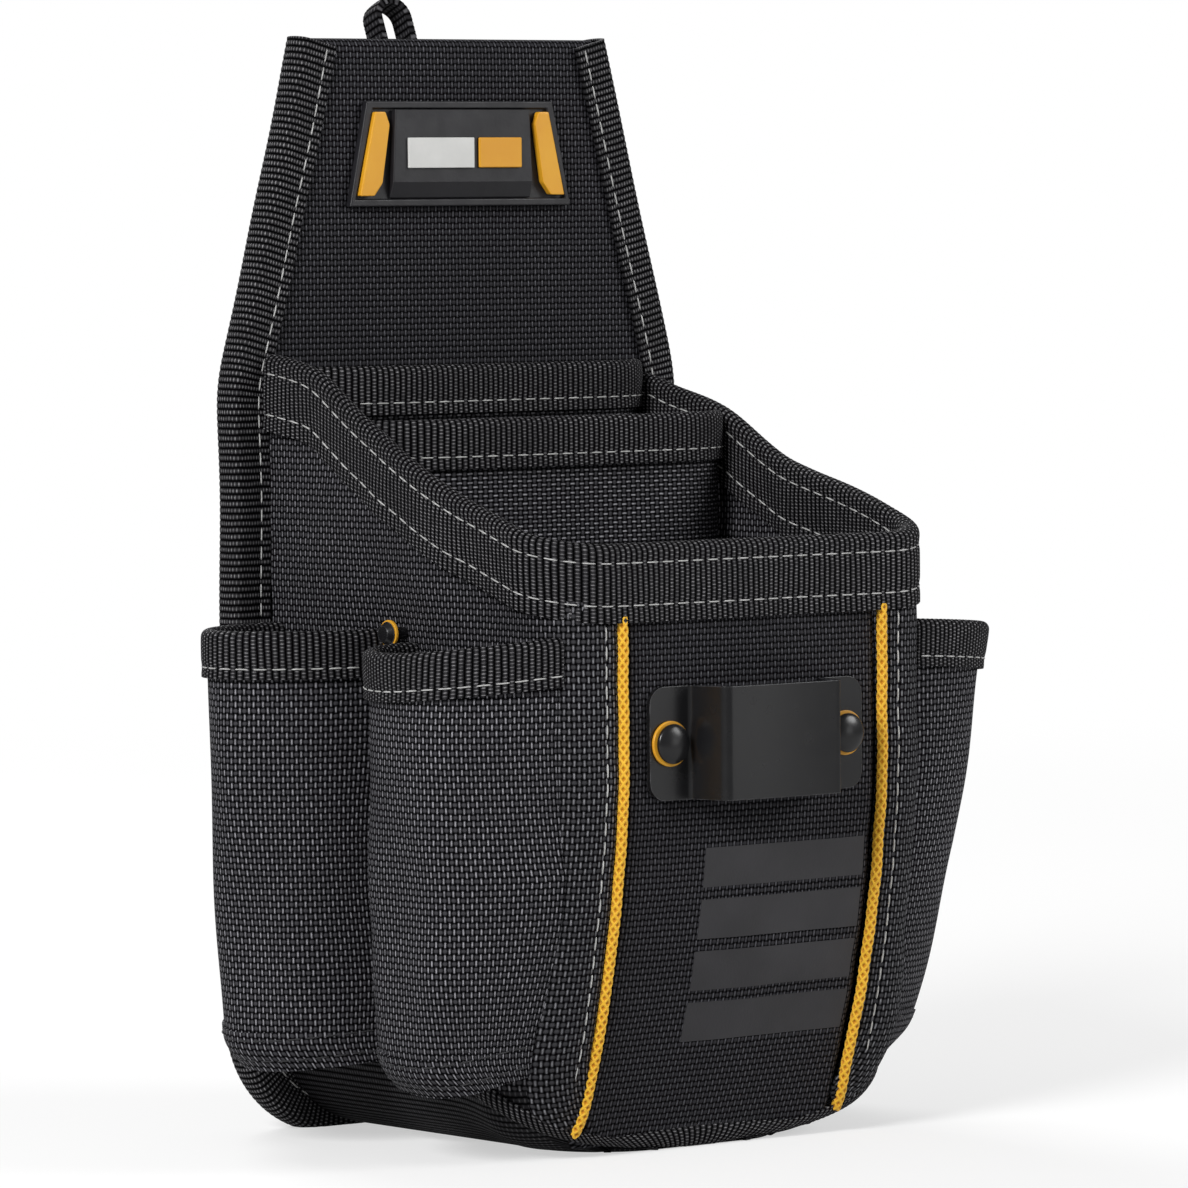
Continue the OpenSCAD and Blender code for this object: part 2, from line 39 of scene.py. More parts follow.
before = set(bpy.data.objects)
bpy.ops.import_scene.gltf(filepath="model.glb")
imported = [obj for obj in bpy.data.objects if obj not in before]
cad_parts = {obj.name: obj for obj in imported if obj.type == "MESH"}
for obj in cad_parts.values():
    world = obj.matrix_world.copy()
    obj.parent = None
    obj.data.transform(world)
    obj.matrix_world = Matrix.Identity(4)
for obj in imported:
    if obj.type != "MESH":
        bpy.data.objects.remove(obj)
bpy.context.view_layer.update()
MM = 0.001

# ---------- dimensions shared with the CAD ----------

POUCH_H = 268
TOP_W = 92
BACK_W = 137
SHOULDER_Z = 183
BACK_CORNER_R = 27
PANEL_STACK = 5.7
POCKET_BACK_W = 118
POCKET_FRONT_W = 119
POCKET_D = 114
POCKET_Y = -1.5
FRONT_LEAN = 22
LEAN_Z = 100
FRONT_R = 16
BOTTOM_R = 30
WALL = 2
LAYER_GAP = 0.25
RIM_FRONT = 146.5
TAPE_T = 1.0
TAPE_RIB = 1.6
WEB_RIB = 1.8
CORD_X = 40
CORD_R = 1.3
CORD_LOBES = 4
CORD_TWIST = 2.4
FRONT_HALF = CORD_X - CORD_R - 0.2
LOOP_X = -9
LOOP_Y = 8.9
LOOP_Z = 256
LOOP_RIB = 1.1

# Stations run around the pocket in millimetres: 0 is the front centre, minus is left
FLAT = POCKET_FRONT_W / 2 - FRONT_R
ARC = FRONT_R * math.pi / 2
SIDE = 96.5
STATION_SEAM = FLAT + ARC / 2
STATION_END = FLAT + ARC + SIDE


# ---------- small maths ----------


def smooth_step(low, high, x):
    t = np.clip((np.asarray(x, float) - low) / (high - low), 0, 1)
    return t * t * (3 - 2 * t)


def ripple(u, v, size, seed):
    """Smooth irregular waves about -1 to 1, the same on every run."""
    rng = np.random.default_rng(seed)
    total = 0
    waves = 7
    for _ in range(waves):
        angle = rng.uniform(0, 2 * math.pi)
        length = size * rng.uniform(0.6, 1.6)
        phase = rng.uniform(0, 2 * math.pi)
        total = total + np.sin((u * math.cos(angle) + v * math.sin(angle)) * 2 * math.pi / length + phase)
    return total / waves * 1.8


def unit(vectors):
    return vectors / np.maximum(np.linalg.norm(vectors, axis=-1, keepdims=True), 1e-9)


def join(*parts):
    """Points from their coordinates, which may be numbers or arrays of shapes that match."""
    return np.stack(np.broadcast_arrays(*parts), -1)


def path_length(points):
    steps = np.linalg.norm(np.diff(points, axis=0), axis=1)
    return np.concatenate([[0], np.cumsum(steps)])


def resample(points, spacing, *others):
    """Points at even distances along a line, and the same for arrays that go with it."""
    points = np.asarray(points, float)
    s = path_length(points)
    new_s = np.linspace(0, s[-1], max(2, int(s[-1] / spacing) + 1))
    made = [np.stack([np.interp(new_s, s, a[:, k]) for k in range(a.shape[1])], 1)
            for a in (points,) + others]
    return (new_s, *made)


def grid_normals(grid, inside):
    """Unit normals of a grid of points, pointing away from the point inside."""
    normals = unit(np.cross(np.gradient(grid, axis=1), np.gradient(grid, axis=0)))
    if np.mean(np.sum(normals * (grid - np.asarray(inside, float)), -1)) < 0:
        normals = -normals
    return normals


# ---------- mesh builders ----------

FLOOR_CLEAR = 0.05


def new_object(name, verts, faces, face_uvs, material, body="pouch", stands_for=(), slot=None, sharp=50):
    mesh = bpy.data.meshes.new(name)
    verts = np.array(verts, float)
    verts[:, 2] = np.maximum(verts[:, 2], FLOOR_CLEAR)
    mesh.from_pydata((verts * MM).tolist(), [], faces)
    layer = mesh.uv_layers.new(name="fabric")
    layer.data.foreach_set("uv", np.asarray(face_uvs, np.float32).ravel())
    made = bmesh.new()
    made.from_mesh(mesh)
    bmesh.ops.recalc_face_normals(made, faces=made.faces)
    made.to_mesh(mesh)
    made.free()
    mesh.polygons.foreach_set("use_smooth", [True] * len(mesh.polygons))
    mesh.set_sharp_from_angle(angle=math.radians(sharp))
    obj = bpy.data.objects.new(name, mesh)
    bpy.context.scene.collection.objects.link(obj)
    mesh.materials.append(material)
    if body:
        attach(obj, body)
    if stands_for:
        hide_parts(*stands_for)
    return obj


def quads(rows, cols, wrap=False, start=0):
    """Faces of a grid of points, and for each face corner its row and column."""
    i, j = np.meshgrid(np.arange(rows - 1), np.arange(cols if wrap else cols - 1), indexing="ij")
    i = i.ravel()
    j = j.ravel()
    corners = [(i, j), (i, j + 1), (i + 1, j + 1), (i + 1, j)]
    faces = np.stack([start + r * cols + c % cols for r, c in corners], 1)
    places = np.stack([np.stack([r, c], 1) for r, c in corners], 1)
    return faces, places


def sheet(name, outer, thick, uv, inside, material, **options):
    """Closed sheet of fabric: a grid of points on its outer face, and its copy one thickness inside."""
    rows, cols = outer.shape[:2]
    inner = outer - grid_normals(outer, inside) * thick
    count = rows * cols
    faces, _ = quads(rows, cols)
    index = np.arange(count).reshape(rows, cols)
    rim = np.concatenate([index[0, :-1], index[:-1, -1], index[-1, :0:-1], index[:0:-1, 0]])
    after = np.roll(rim, -1)
    edge = np.stack([rim, after, after + count, rim + count], 1)
    all_faces = np.concatenate([faces, faces[:, ::-1] + count, edge])
    flat_uv = uv.reshape(-1, 2)
    face_uvs = flat_uv[all_faces % count]
    verts = np.concatenate([outer.reshape(-1, 3), inner.reshape(-1, 3)])
    return new_object(name, verts, all_faces.tolist(), face_uvs, material, **options)


def band(name, path, across, out, line, thick, material, rib=TAPE_RIB, rib_h=0.16, spacing=0.4, **options):
    """Woven tape: a section line of (across, out) points swept along a path, with ribs across it."""
    s, path, across, out = resample(path, spacing, across, out)
    across = unit(across)
    out = unit(out)
    line = np.asarray(line, float)
    tangent = unit(np.gradient(line, axis=0))
    normal = join(-tangent[:, 1], tangent[:, 0])
    wave = np.abs(np.cos(math.pi * s / rib))
    height = (thick / 2 + rib_h * (wave - 0.6))[:, None]
    count = len(line)
    top = line + normal * height[..., None]
    under = np.broadcast_to((line - normal * thick / 2)[::-1], top.shape)
    section = np.concatenate([top, under], 1)
    verts = path[:, None] + across[:, None] * section[..., :1] + out[:, None] * section[..., 1:]
    rings, ring = verts.shape[:2]
    faces, places = quads(rings, ring, wrap=True)
    width = path_length(line)
    u = np.concatenate([width, width[::-1], width[:1]])
    face_uvs = join(u[places[..., 1]], s[places[..., 0]])
    k = np.arange(count - 1)
    cap = np.stack([k, k + 1, ring - 2 - k, ring - 1 - k], 1)
    caps = np.concatenate([cap[:, ::-1], cap + (rings - 1) * ring])
    cap_uvs = join(u[caps % ring], np.where(caps < ring, 0, s[-1]))
    return new_object(name, verts.reshape(-1, 3), np.concatenate([faces, caps]).tolist(),
                      np.concatenate([face_uvs, cap_uvs]), material, **options)


def fold_out(a, half, puff, rows):
    """How far a folded tape's centre line stands off the middle at distance a from the fold."""
    pinch = sum(np.exp(-((a - row) / 1.1) ** 2) for row in rows)
    return half + puff * (0.6 * smooth_step(0, 3, a) - pinch)


def fold_line(width, half, puff, rows, crown=0.9):
    """Section of a tape folded over an edge: down one face, around the fold and down the other."""
    turn = np.linspace(0, math.pi / 2, 7)
    round_a = half * crown * (1 - np.cos(turn))
    flat_a = np.linspace(half * crown + 0.5, width, max(6, int(width / 0.9)))
    a = np.concatenate([round_a, flat_a])
    share = np.concatenate([np.sin(turn), np.ones(len(flat_a))])
    b = fold_out(a, half, puff, rows) * share
    return np.concatenate([join(a, -b)[:0:-1], join(a, b)])


def folded_tape(name, stitch_name, node, path, down, out, width, half, puff, rows, thick=TAPE_T, crown=0.9):
    """Tape folded over an edge, sewn along rows at distances from the fold, seen on both faces."""
    line = fold_line(width, half, puff, rows, crown)
    band(name, path, down, out, line, thick, TAPE, stands_for=[node], slot="tape")
    sewn = []
    for a in rows:
        b = fold_out(a, half, puff, rows) + thick / 2 + 0.05
        for face in (1, -1):
            sewn.append((path + down * a + out * b * face, out * face))
    stitches(stitch_name, sewn, THREAD)


def tube(name, path, out, radius, material, twist=CORD_TWIST, lobes=CORD_LOBES, relief=0.7, sides=32,
         spacing=0.2, **options):
    """Round cord with raised helical strands."""
    s, path, out = resample(path, spacing, out)
    tangent = unit(np.gradient(path, axis=0))
    side = unit(np.cross(tangent, out))
    out = np.cross(side, tangent)
    angle = np.linspace(0, 2 * math.pi, sides, endpoint=False)
    strand = np.abs(np.cos((angle[None] * lobes + s[:, None] * 2 * math.pi / twist) / 2))
    other = np.abs(np.cos((angle[None] * lobes - s[:, None] * 2 * math.pi / twist) / 2))
    r = radius + relief * (np.maximum(strand, other) - 0.92)
    verts = path[:, None] + r[..., None] * (np.cos(angle)[None, :, None] * side[:, None]
                                            + np.sin(angle)[None, :, None] * out[:, None])
    rings = len(path)
    faces, places = quads(rings, sides, wrap=True)
    face_uvs = join(places[..., 1] * 2 * math.pi * radius / sides, s[places[..., 0]])
    ends = [list(range(sides)), list(range((rings - 1) * sides, rings * sides))]
    all_uvs = np.concatenate([face_uvs.reshape(-1, 2), np.zeros((2 * sides, 2))])
    return new_object(name, verts.reshape(-1, 3), faces.tolist() + ends, all_uvs, material, sharp=70,
                      **options)


STITCH_PITCH = 4.6
STITCH_LENGTH = 3.3
STITCH_R = 0.19


def stitches(name, rows, material, pitch=STITCH_PITCH, length=STITCH_LENGTH, radius=STITCH_R, body="pouch"):
    """Rows of thread stitches, each row a line of points on the fabric with the fabric's normals."""
    share = np.array([0, 0.12, 0.5, 0.88, 1.0])
    thick = np.array([0.35, 0.9, 1.0, 0.9, 0.35]) * radius
    lift = np.array([-0.35, 0.05, 0.25, 0.05, -0.35]) * radius
    sides = 7
    angle = np.linspace(0, 2 * math.pi, sides, endpoint=False)
    all_verts = []
    for points, normals in rows:
        points = np.asarray(points, float)
        s = path_length(points)
        count = int((s[-1] - length) / pitch) + 1
        starts = (s[-1] - (count - 1) * pitch - length) / 2 + np.arange(count) * pitch
        place = starts[:, None] + share[None] * length
        centre = np.stack([np.interp(place, s, points[:, k]) for k in range(3)], -1)
        normal = unit(np.stack([np.interp(place, s, normals[:, k]) for k in range(3)], -1))
        tangent = unit(np.gradient(centre, axis=1))
        side = np.cross(tangent, normal)
        centre = centre + normal * lift[None, :, None]
        ring = (np.cos(angle)[:, None] * side[:, :, None] + np.sin(angle)[:, None] * normal[:, :, None])
        made = centre[:, :, None] + ring * thick[None, :, None, None]
        all_verts.append(made.reshape(-1, len(share), sides, 3))
    verts = np.concatenate(all_verts)
    faces, _ = quads(len(share), sides, wrap=True)
    per = len(share) * sides
    starts = (np.arange(len(verts)) * per)[:, None, None]
    all_faces = (faces[None] + starts).reshape(-1, 4).tolist()
    ends = [[base + at + k for k in range(sides)] for at in (0, per - sides)
            for base in range(0, len(verts) * per, per)]
    uv_count = len(all_faces) * 4 + len(ends) * sides
    return new_object(name, verts.reshape(-1, 3), all_faces + ends, np.zeros((uv_count, 2)), material,
                      body=body, sharp=80)


def lathe(name, profile, centres, axis, material, sides=40, **options):
    """Turned parts: the same profile of (radius, distance out) points about an axis at each centre."""
    axis = unit(np.asarray(axis, float))
    helper = np.array([0, 0, 1.0])
    side = unit(np.cross(axis, helper))
    up = np.cross(side, axis)
    angle = np.linspace(0, 2 * math.pi, sides, endpoint=False)
    verts = []
    faces = []
    for centre in centres:
        start = len(verts) * sides
        for radius, away in profile:
            ring = np.cos(angle)[:, None] * side + np.sin(angle)[:, None] * up
            verts.append(np.asarray(centre, float) + axis * away + ring * radius)
        grid, _ = quads(len(profile), sides, wrap=True, start=start)
        faces += grid.tolist()
        faces += [list(range(start, start + sides))]
        last = start + (len(profile) - 1) * sides
        faces += [list(range(last, last + sides))]
    uv_count = sum(len(f) for f in faces)
    return new_object(name, np.concatenate(verts), faces, np.zeros((uv_count, 2)), material, sharp=35,
                      **options)


# ---------- materials ----------


class Graph:
    """A material with a short way to add nodes."""

    def __init__(self, name):
        self.material = bpy.data.materials.new(name)
        self.material.use_nodes = True
        self.tree = self.material.node_tree
        self.shader = self.tree.nodes["Principled BSDF"]

    def put(self, socket, value):
        if isinstance(value, bpy.types.NodeSocket):
            self.tree.links.new(value, socket)
        else:
            socket.default_value = value

    def math(self, operation, a, b=0.0, clamp=False):
        node = self.tree.nodes.new("ShaderNodeMath")
        node.operation = operation
        node.use_clamp = clamp
        self.put(node.inputs[0], a)
        self.put(node.inputs[1], b)
        return node.outputs[0]

    def times(self, a, b):
        return self.math("MULTIPLY", a, b)

    def plus(self, a, b, clamp=False):
        return self.math("ADD", a, b, clamp)

    def blend(self, share, low, high):
        node = self.tree.nodes.new("ShaderNodeMix")
        node.data_type = "RGBA"
        self.put(node.inputs["Factor"], share)
        self.put(node.inputs["A"], low if isinstance(low, bpy.types.NodeSocket) else (*low, 1))
        self.put(node.inputs["B"], high if isinstance(high, bpy.types.NodeSocket) else (*high, 1))
        return node.outputs["Result"]

    def fabric(self):
        """Distances across and along the fabric in millimetres."""
        node = self.tree.nodes.new("ShaderNodeUVMap")
        node.uv_map = "fabric"
        split = self.tree.nodes.new("ShaderNodeSeparateXYZ")
        self.put(split.inputs[0], node.outputs[0])
        return split.outputs["X"], split.outputs["Y"]

    def noise(self, scale, detail=2.0, roughness=0.5):
        place = self.tree.nodes.new("ShaderNodeTexCoord")
        node = self.tree.nodes.new("ShaderNodeTexNoise")
        self.put(node.inputs["Vector"], place.outputs["Object"])
        self.put(node.inputs["Scale"], scale)
        self.put(node.inputs["Detail"], detail)
        self.put(node.inputs["Roughness"], roughness)
        return node.outputs["Fac"]

    def spread(self, value, low, high, to_low=0.0, to_high=1.0):
        node = self.tree.nodes.new("ShaderNodeMapRange")
        node.interpolation_type = "SMOOTHSTEP"
        for socket, number in zip(node.inputs, (value, low, high, to_low, to_high)):
            self.put(socket, number)
        return node.outputs[0]

    def waver(self, amount):
        """Small uneven shift of the yarns."""
        return self.times(self.math("SUBTRACT", self.noise(300, 1), 0.5), amount)

    def shaded(self, colour, share):
        node = self.tree.nodes.new("ShaderNodeVectorMath")
        node.operation = "SCALE"
        self.put(node.inputs[0], colour)
        self.put(node.inputs["Scale"], share)
        return node.outputs[0]

    def bump(self, height, distance, strength):
        node = self.tree.nodes.new("ShaderNodeBump")
        self.put(node.inputs["Height"], height)
        self.put(node.inputs["Distance"], distance)
        self.put(node.inputs["Strength"], strength)
        return node.outputs[0]

    def edge_wear(self, radius):
        """Share of worn edge, from the difference between the true and a rounded normal."""
        bevel = self.tree.nodes.new("ShaderNodeBevel")
        bevel.samples = 4
        self.put(bevel.inputs["Radius"], radius)
        geometry = self.tree.nodes.new("ShaderNodeNewGeometry")
        dot = self.tree.nodes.new("ShaderNodeVectorMath")
        dot.operation = "DOT_PRODUCT"
        self.put(dot.inputs[0], bevel.outputs[0])
        self.put(dot.inputs[1], geometry.outputs["Normal"])
        return self.spread(dot.outputs["Value"], 0.985, 0.9)

    def finish(self, colour, roughness, normal=None, **extra):
        self.put(self.shader.inputs["Base Color"], colour if isinstance(colour, bpy.types.NodeSocket)
                 else (*colour, 1))
        self.put(self.shader.inputs["Roughness"], roughness)
        if normal is not None:
            self.put(self.shader.inputs["Normal"], normal)
        for label, value in extra.items():
            self.put(self.shader.inputs[label.replace("_", " ")], value)
        return self.material


def weave_material(name, pitch_across, pitch_along, dark, light, shine=0.3, relief=0.22):
    """Plain weave of round yarns: painted highlights where the upright yarns pass over, and painted shade
    in the gaps between the yarns.
    """
    g = Graph(name)
    across, along = g.fabric()
    shift = g.waver(0.7)
    cos_u = g.math("COSINE", g.plus(g.times(across, math.pi / pitch_across), shift))
    cos_v = g.math("COSINE", g.plus(g.times(along, math.pi / pitch_along), shift))
    both = g.times(cos_u, cos_v)
    round_u = g.math("ABSOLUTE", cos_u)
    upright = g.times(g.plus(round_u, both), 0.5)
    level = g.times(g.math("SUBTRACT", g.math("ABSOLUTE", cos_v), both), 0.5)
    height = g.math("MAXIMUM", upright, level)
    yarn = g.spread(g.noise(900, 2), 0.25, 0.75, 0.3, 1.2)
    patch = g.spread(g.noise(30, 3), 0.3, 0.7, 0.7, 1.1)
    # Painted highlights: the crests of the upright yarns where they pass over, and the yarn tops more
    # softly, are made lighter in the base colour as if they catch the light. The yarn and patch noise vary
    # them at random.
    crest = g.times(g.spread(round_u, 0.80, 0.99), g.spread(upright, 0.4, 0.85))
    soft = g.times(g.spread(height, 0.3, 0.95), 0.12)
    glint = g.plus(g.times(g.times(crest, yarn), patch), soft)
    # Painted shade: this darkens the colour, and the specular level with it, in the gaps between the yarns.
    gap_shade = g.spread(height, 0.15, 0.75, 0.05, 1.0)
    colour = g.shaded(g.blend(glint, dark, light), gap_shade)
    rough = g.spread(glint, 0, 1, 0.8, 0.45)
    normal = g.bump(height, relief * MM, 1.0)
    return g.finish(colour, rough, normal, Specular_IOR_Level=g.times(gap_shade, shine))


def tape_material(name, rib, dot, dark, light, shine=0.22):
    """Ribbed tape: ribs across the tape, with staggered painted highlights on the yarns along them and
    painted shade between the ribs.
    """
    g = Graph(name)
    across, along = g.fabric()
    shift = g.waver(0.5)
    cos_v = g.math("COSINE", g.plus(g.times(along, math.pi / rib), shift))
    cos_u = g.math("COSINE", g.plus(g.times(across, math.pi / dot), shift))
    rib_wave = g.math("ABSOLUTE", cos_v)
    sign = g.times(cos_v, cos_u)
    # Painted highlights: staggered light dots on the yarns and lighter rib tops in the base colour, varied
    # at random by the yarn and patch noise.
    bright = g.spread(sign, 0.45, 0.95)
    yarn = g.spread(g.noise(1000, 2), 0.3, 0.7, 0.35, 1.15)
    patch = g.spread(g.noise(40, 3), 0.3, 0.7, 0.7, 1.1)
    top = g.times(g.spread(rib_wave, 0.7, 1.0), 0.06)
    share = g.plus(g.times(g.times(bright, yarn), patch), top, clamp=True)
    height = g.plus(rib_wave, g.times(sign, 0.25))
    # Painted shade: this darkens the colour and the specular level between the ribs.
    gap_shade = g.spread(height, 0.12, 0.8, 0.06, 1.0)
    colour = g.shaded(g.blend(share, dark, light), gap_shade)
    rough = g.spread(share, 0, 1, 0.75, 0.5)
    normal = g.bump(height, 0.16 * MM, 0.9)
    return g.finish(colour, rough, normal, Specular_IOR_Level=g.times(gap_shade, shine))


def cord_material():
    """Braid: the crests where the strands that wind each way pass over are painted lighter as highlights,
    and the grooves between them are painted darker as shade.
    """
    g = Graph("braided_cord")
    across, along = g.fabric()
    around = g.times(across, CORD_LOBES / (2 * CORD_R))
    up = g.times(along, math.pi / CORD_TWIST)
    strand = g.math("ABSOLUTE", g.math("COSINE", g.plus(around, up)))
    other = g.math("ABSOLUTE", g.math("COSINE", g.math("SUBTRACT", around, up)))
    strands = g.math("MAXIMUM", strand, other)
    # Painted light: the crests are blended towards the lighter yellow as highlights, and the grooves
    # between the strands towards the darker orange as shade.
    share = g.times(g.spread(strands, 0.68, 0.92), g.spread(g.noise(700, 2), 0.3, 0.7, 0.8, 1.0))
    colour = g.blend(share, (0.66, 0.29, 0.008), (1.0, 0.57, 0.035))
    normal = g.bump(strands, 0.12 * MM, 0.8)
    return g.finish(colour, 0.62, normal, Specular_IOR_Level=0.35, Sheen_Weight=0.15)


def smooth_material(name, colour, other, roughness, grain=0.0, wear=None, metallic=0.0, grain_scale=900,
                    smudge=0.06):
    """Moulded rubber, paint, ink or metal: mottled colour, fine grain and brighter worn edges."""
    g = Graph(name)
    shade = g.blend(g.spread(g.noise(60, 4), 0.3, 0.7), colour, other)
    rough = g.spread(g.noise(220, 3), 0.3, 0.7, roughness - smudge, roughness + smudge)
    if wear:
        worn = g.times(g.edge_wear(0.35 * MM), g.spread(g.noise(500, 3), 0.35, 0.65, 0.15, 1.0))
        shade = g.blend(worn, shade, wear)
    normal = g.bump(g.noise(grain_scale, 3), grain * MM, 0.6)
    return g.finish(shade, rough, normal, Metallic=metallic)


def thread_material(name, colour, other):
    g = Graph(name)
    shade = g.blend(g.spread(g.noise(900, 2), 0.35, 0.65), colour, other)
    return g.finish(shade, 0.7, g.bump(g.noise(2500, 1), 0.05 * MM, 0.5), Sheen_Weight=0.2)


# The weave materials below are one fabric with lit and shaded copies: how bright the painted glints are is
# set by how the light falls on each part. The front and back panels, which face away from the key light,
# get faint glints. The corner strips get stronger ones, and the sleeves and dividers, which face the light,
# the strongest. The gusset copy is a shaded one, with darker gaps, for the sides in shadow under the collar
# and the edge tape.
FAINT_GLINT_NYLON = weave_material("nylon_faint_painted_glint", 1.08, 1.46, (0.015, 0.0142, 0.0178), (0.10, 0.10, 0.115))
STRIP_GLINT_NYLON = weave_material("strip_nylon_painted_glint", 1.1, 1.5, (0.012, 0.0115, 0.0145), (0.26, 0.26, 0.28))
GUSSET_SHADED_NYLON = weave_material("gusset_nylon_painted_shade", 1.1, 1.5, (0.009, 0.0085, 0.0115), (0.28, 0.275, 0.30))
BRIGHT_GLINT_NYLON = weave_material("coarse_nylon", 1.1, 1.5, (0.010, 0.0095, 0.013), (0.36, 0.355, 0.385))
TAPE = tape_material("ribbed_tape", TAPE_RIB, 0.42, (0.010, 0.0095, 0.0115), (0.30, 0.295, 0.305))
WEBBING = tape_material("webbing", WEB_RIB, 0.6, (0.009, 0.0085, 0.0105), (0.09, 0.088, 0.095))
CORD = cord_material()
RUBBER = smooth_material("label_rubber", (0.010, 0.0095, 0.012), (0.014, 0.0135, 0.017), 0.5, grain=0.05)
LIGHT_RUBBER = smooth_material("label_light", (0.70, 0.70, 0.68), (0.80, 0.80, 0.78), 0.45, grain=0.04)
YELLOW_RUBBER = smooth_material("label_yellow", (0.80, 0.36, 0.015), (0.86, 0.42, 0.02), 0.42, grain=0.04)
INK = smooth_material("print_ink", (0.022, 0.021, 0.024), (0.030, 0.029, 0.033), 0.42, grain=0.08,
                      grain_scale=1600)
STEEL = smooth_material("black_steel", (0.008, 0.008, 0.009), (0.010, 0.010, 0.011), 0.26, grain=0.01,
                        wear=(0.12, 0.12, 0.13), smudge=0.015)
WASHER = smooth_material("washer_yellow", (0.80, 0.36, 0.02), (0.88, 0.44, 0.03), 0.4, grain=0.03)
PLAIN_STEEL = smooth_material("plain_steel", (0.5, 0.5, 0.48), (0.6, 0.6, 0.58), 0.3, grain=0.02,
                              metallic=1.0)
BOARD = smooth_material("board", (0.5, 0.5, 0.47), (0.58, 0.58, 0.55), 0.5, grain=0.03)
THREAD = thread_material("light_thread", (0.42, 0.42, 0.41), (0.60, 0.60, 0.59))
DARK_THREAD = thread_material("dark_thread", (0.012, 0.012, 0.014), (0.022, 0.022, 0.026))


def round_edges(obj, width, angle):
    bevel = obj.modifiers.new("bevel", "BEVEL")
    bevel.width = width * MM
    bevel.segments = 3
    bevel.limit_method = "ANGLE"
    bevel.angle_limit = math.radians(angle)


def keep_cad(node, material, bevel):
    """A CAD node whose shape is right stays, with rounded edges and its own material."""
    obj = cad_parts[node]
    obj.data.materials.clear()
    obj.data.materials.append(material)
    weld = obj.modifiers.new("weld", "WELD")
    weld.merge_threshold = 0.01 * MM
    round_edges(obj, bevel, 25)


# ---------- the pocket's surface ----------


def depth(z):
    """How far the front face is in front of the back panel: it leans back near the floor."""
    return POCKET_D - FRONT_LEAN * (1 - np.minimum(z, LEAN_Z) / LEAN_Z) ** 2


def height_to_v(z):
    """Distance up the pocket's side for a height z: it follows the rounded lower edge."""
    z = np.asarray(z, float)
    turn = np.arcsin(np.clip((BOTTOM_R - z) / BOTTOM_R, 0, 1))
    return np.where(z >= BOTTOM_R, z, BOTTOM_R - BOTTOM_R * turn)


FLOOR_V = BOTTOM_R - BOTTOM_R * math.pi / 2


def shell(station, v):
    """Outer face of the pocket as drawn in the CAD."""
    station, v = np.broadcast_arrays(station, v)
    turn = np.clip((BOTTOM_R - v) / BOTTOM_R, 0, math.pi / 2)
    z = np.where(v >= BOTTOM_R, v, BOTTOM_R - BOTTOM_R * np.sin(turn))
    loss = np.where(v >= BOTTOM_R, 0, BOTTOM_R - BOTTOM_R * np.cos(turn))
    s = np.abs(station)
    corner = np.clip((s - FLAT) / FRONT_R, 0, math.pi / 2)
    back = np.clip((s - FLAT - ARC) / SIDE, 0, 1.05)
    reach = depth(z) - FRONT_R
    widen = (POCKET_BACK_W - POCKET_FRONT_W) / 2
    x = (FLAT - loss) * np.minimum(s / FLAT, 1) + FRONT_R * np.sin(corner) + widen * back
    y = -reach - FRONT_R * np.cos(corner) + (reach + POCKET_Y) * back
    return join(np.sign(station) * x, y, z)


def shell_normal(station, v):
    e = 0.4
    around = shell(station + e, v) - shell(station - e, v)
    up = shell(station, v + e) - shell(station, np.maximum(v - e, FLOOR_V))
    return unit(np.cross(around, up))


def sag(station, v):
    """How far the fabric stands in or out: soft hollows in the sides, nearly flat in front."""
    s = np.abs(station)
    side = smooth_step(56, 90, s) * (1 - smooth_step(140, 163, s))
    upright = smooth_step(4, 45, v)
    low = 1 - smooth_step(128, 150, v)
    hollow = -2.2 * side * np.sin(np.clip((v - 20) / 130, 0, 1) * math.pi)
    folds = (0.25 + 1.5 * side) * ripple(station, v, 60, 11) * (0.4 + 0.6 * low)
    near_clip = smooth_step(44, 30, s) * smooth_step(72, 84, v) * smooth_step(126, 114, v)
    fine = 0.22 * ripple(station, v, 22, 5)
    return (hollow + folds + fine) * upright * (1 - near_clip) + corner_fill(station, v)


def corner_fill(station, v):
    """The lower front corners are filled out, rounder than the CAD's."""
    s = np.abs(station)
    return 3.0 * np.exp(-((s - 62) / 15) ** 2) * smooth_step(-14, 10, v) * (1 - smooth_step(22, 62, v))


def pocket(station, v, out=0.0):
    """The pocket's outer face as it hangs, or a surface at a distance out from it."""
    station, v = np.broadcast_arrays(station, v)
    return shell(station, v) + shell_normal(station, v) * (out + sag(station, v))[..., None]


def front_station(x, z):
    """Station of a point at sideways place x and height z on the front face or its corners."""
    x, z = np.broadcast_arrays(x, z)
    turn = np.arcsin(np.clip((BOTTOM_R - z) / BOTTOM_R, 0, 1))
    flat = FLAT - (BOTTOM_R - BOTTOM_R * np.cos(turn))
    corner = np.arcsin(np.clip((np.abs(x) - flat) / FRONT_R, 0, 1))
    s = np.where(np.abs(x) <= flat, FLAT * np.abs(x) / flat, FLAT + FRONT_R * corner)
    return np.sign(x) * s


# Height of the rim at distances in front of the back panel, left and right
RIM_D = (0, 7, 13, 20, 27, 35, 46, 57, 68, 78, 92, 101, POCKET_D)
RIM_LEFT = (190.5, 189.5, 188.5, 186.7, 182, 177, 171.5, 166, 161, 157, 152.5, 149.5, RIM_FRONT)
RIM_RIGHT = (184, 182.5, 180.5, 179, 177.5, 175, 168.5, 163, 160, 157.5, 153.5, 150, RIM_FRONT)


def rim_height(station):
    d = -shell(station, 150.0)[..., 1]
    left = np.interp(d, RIM_D, RIM_LEFT)
    right = np.interp(d, RIM_D, RIM_RIGHT)
    return np.where(station < 0, left, right)


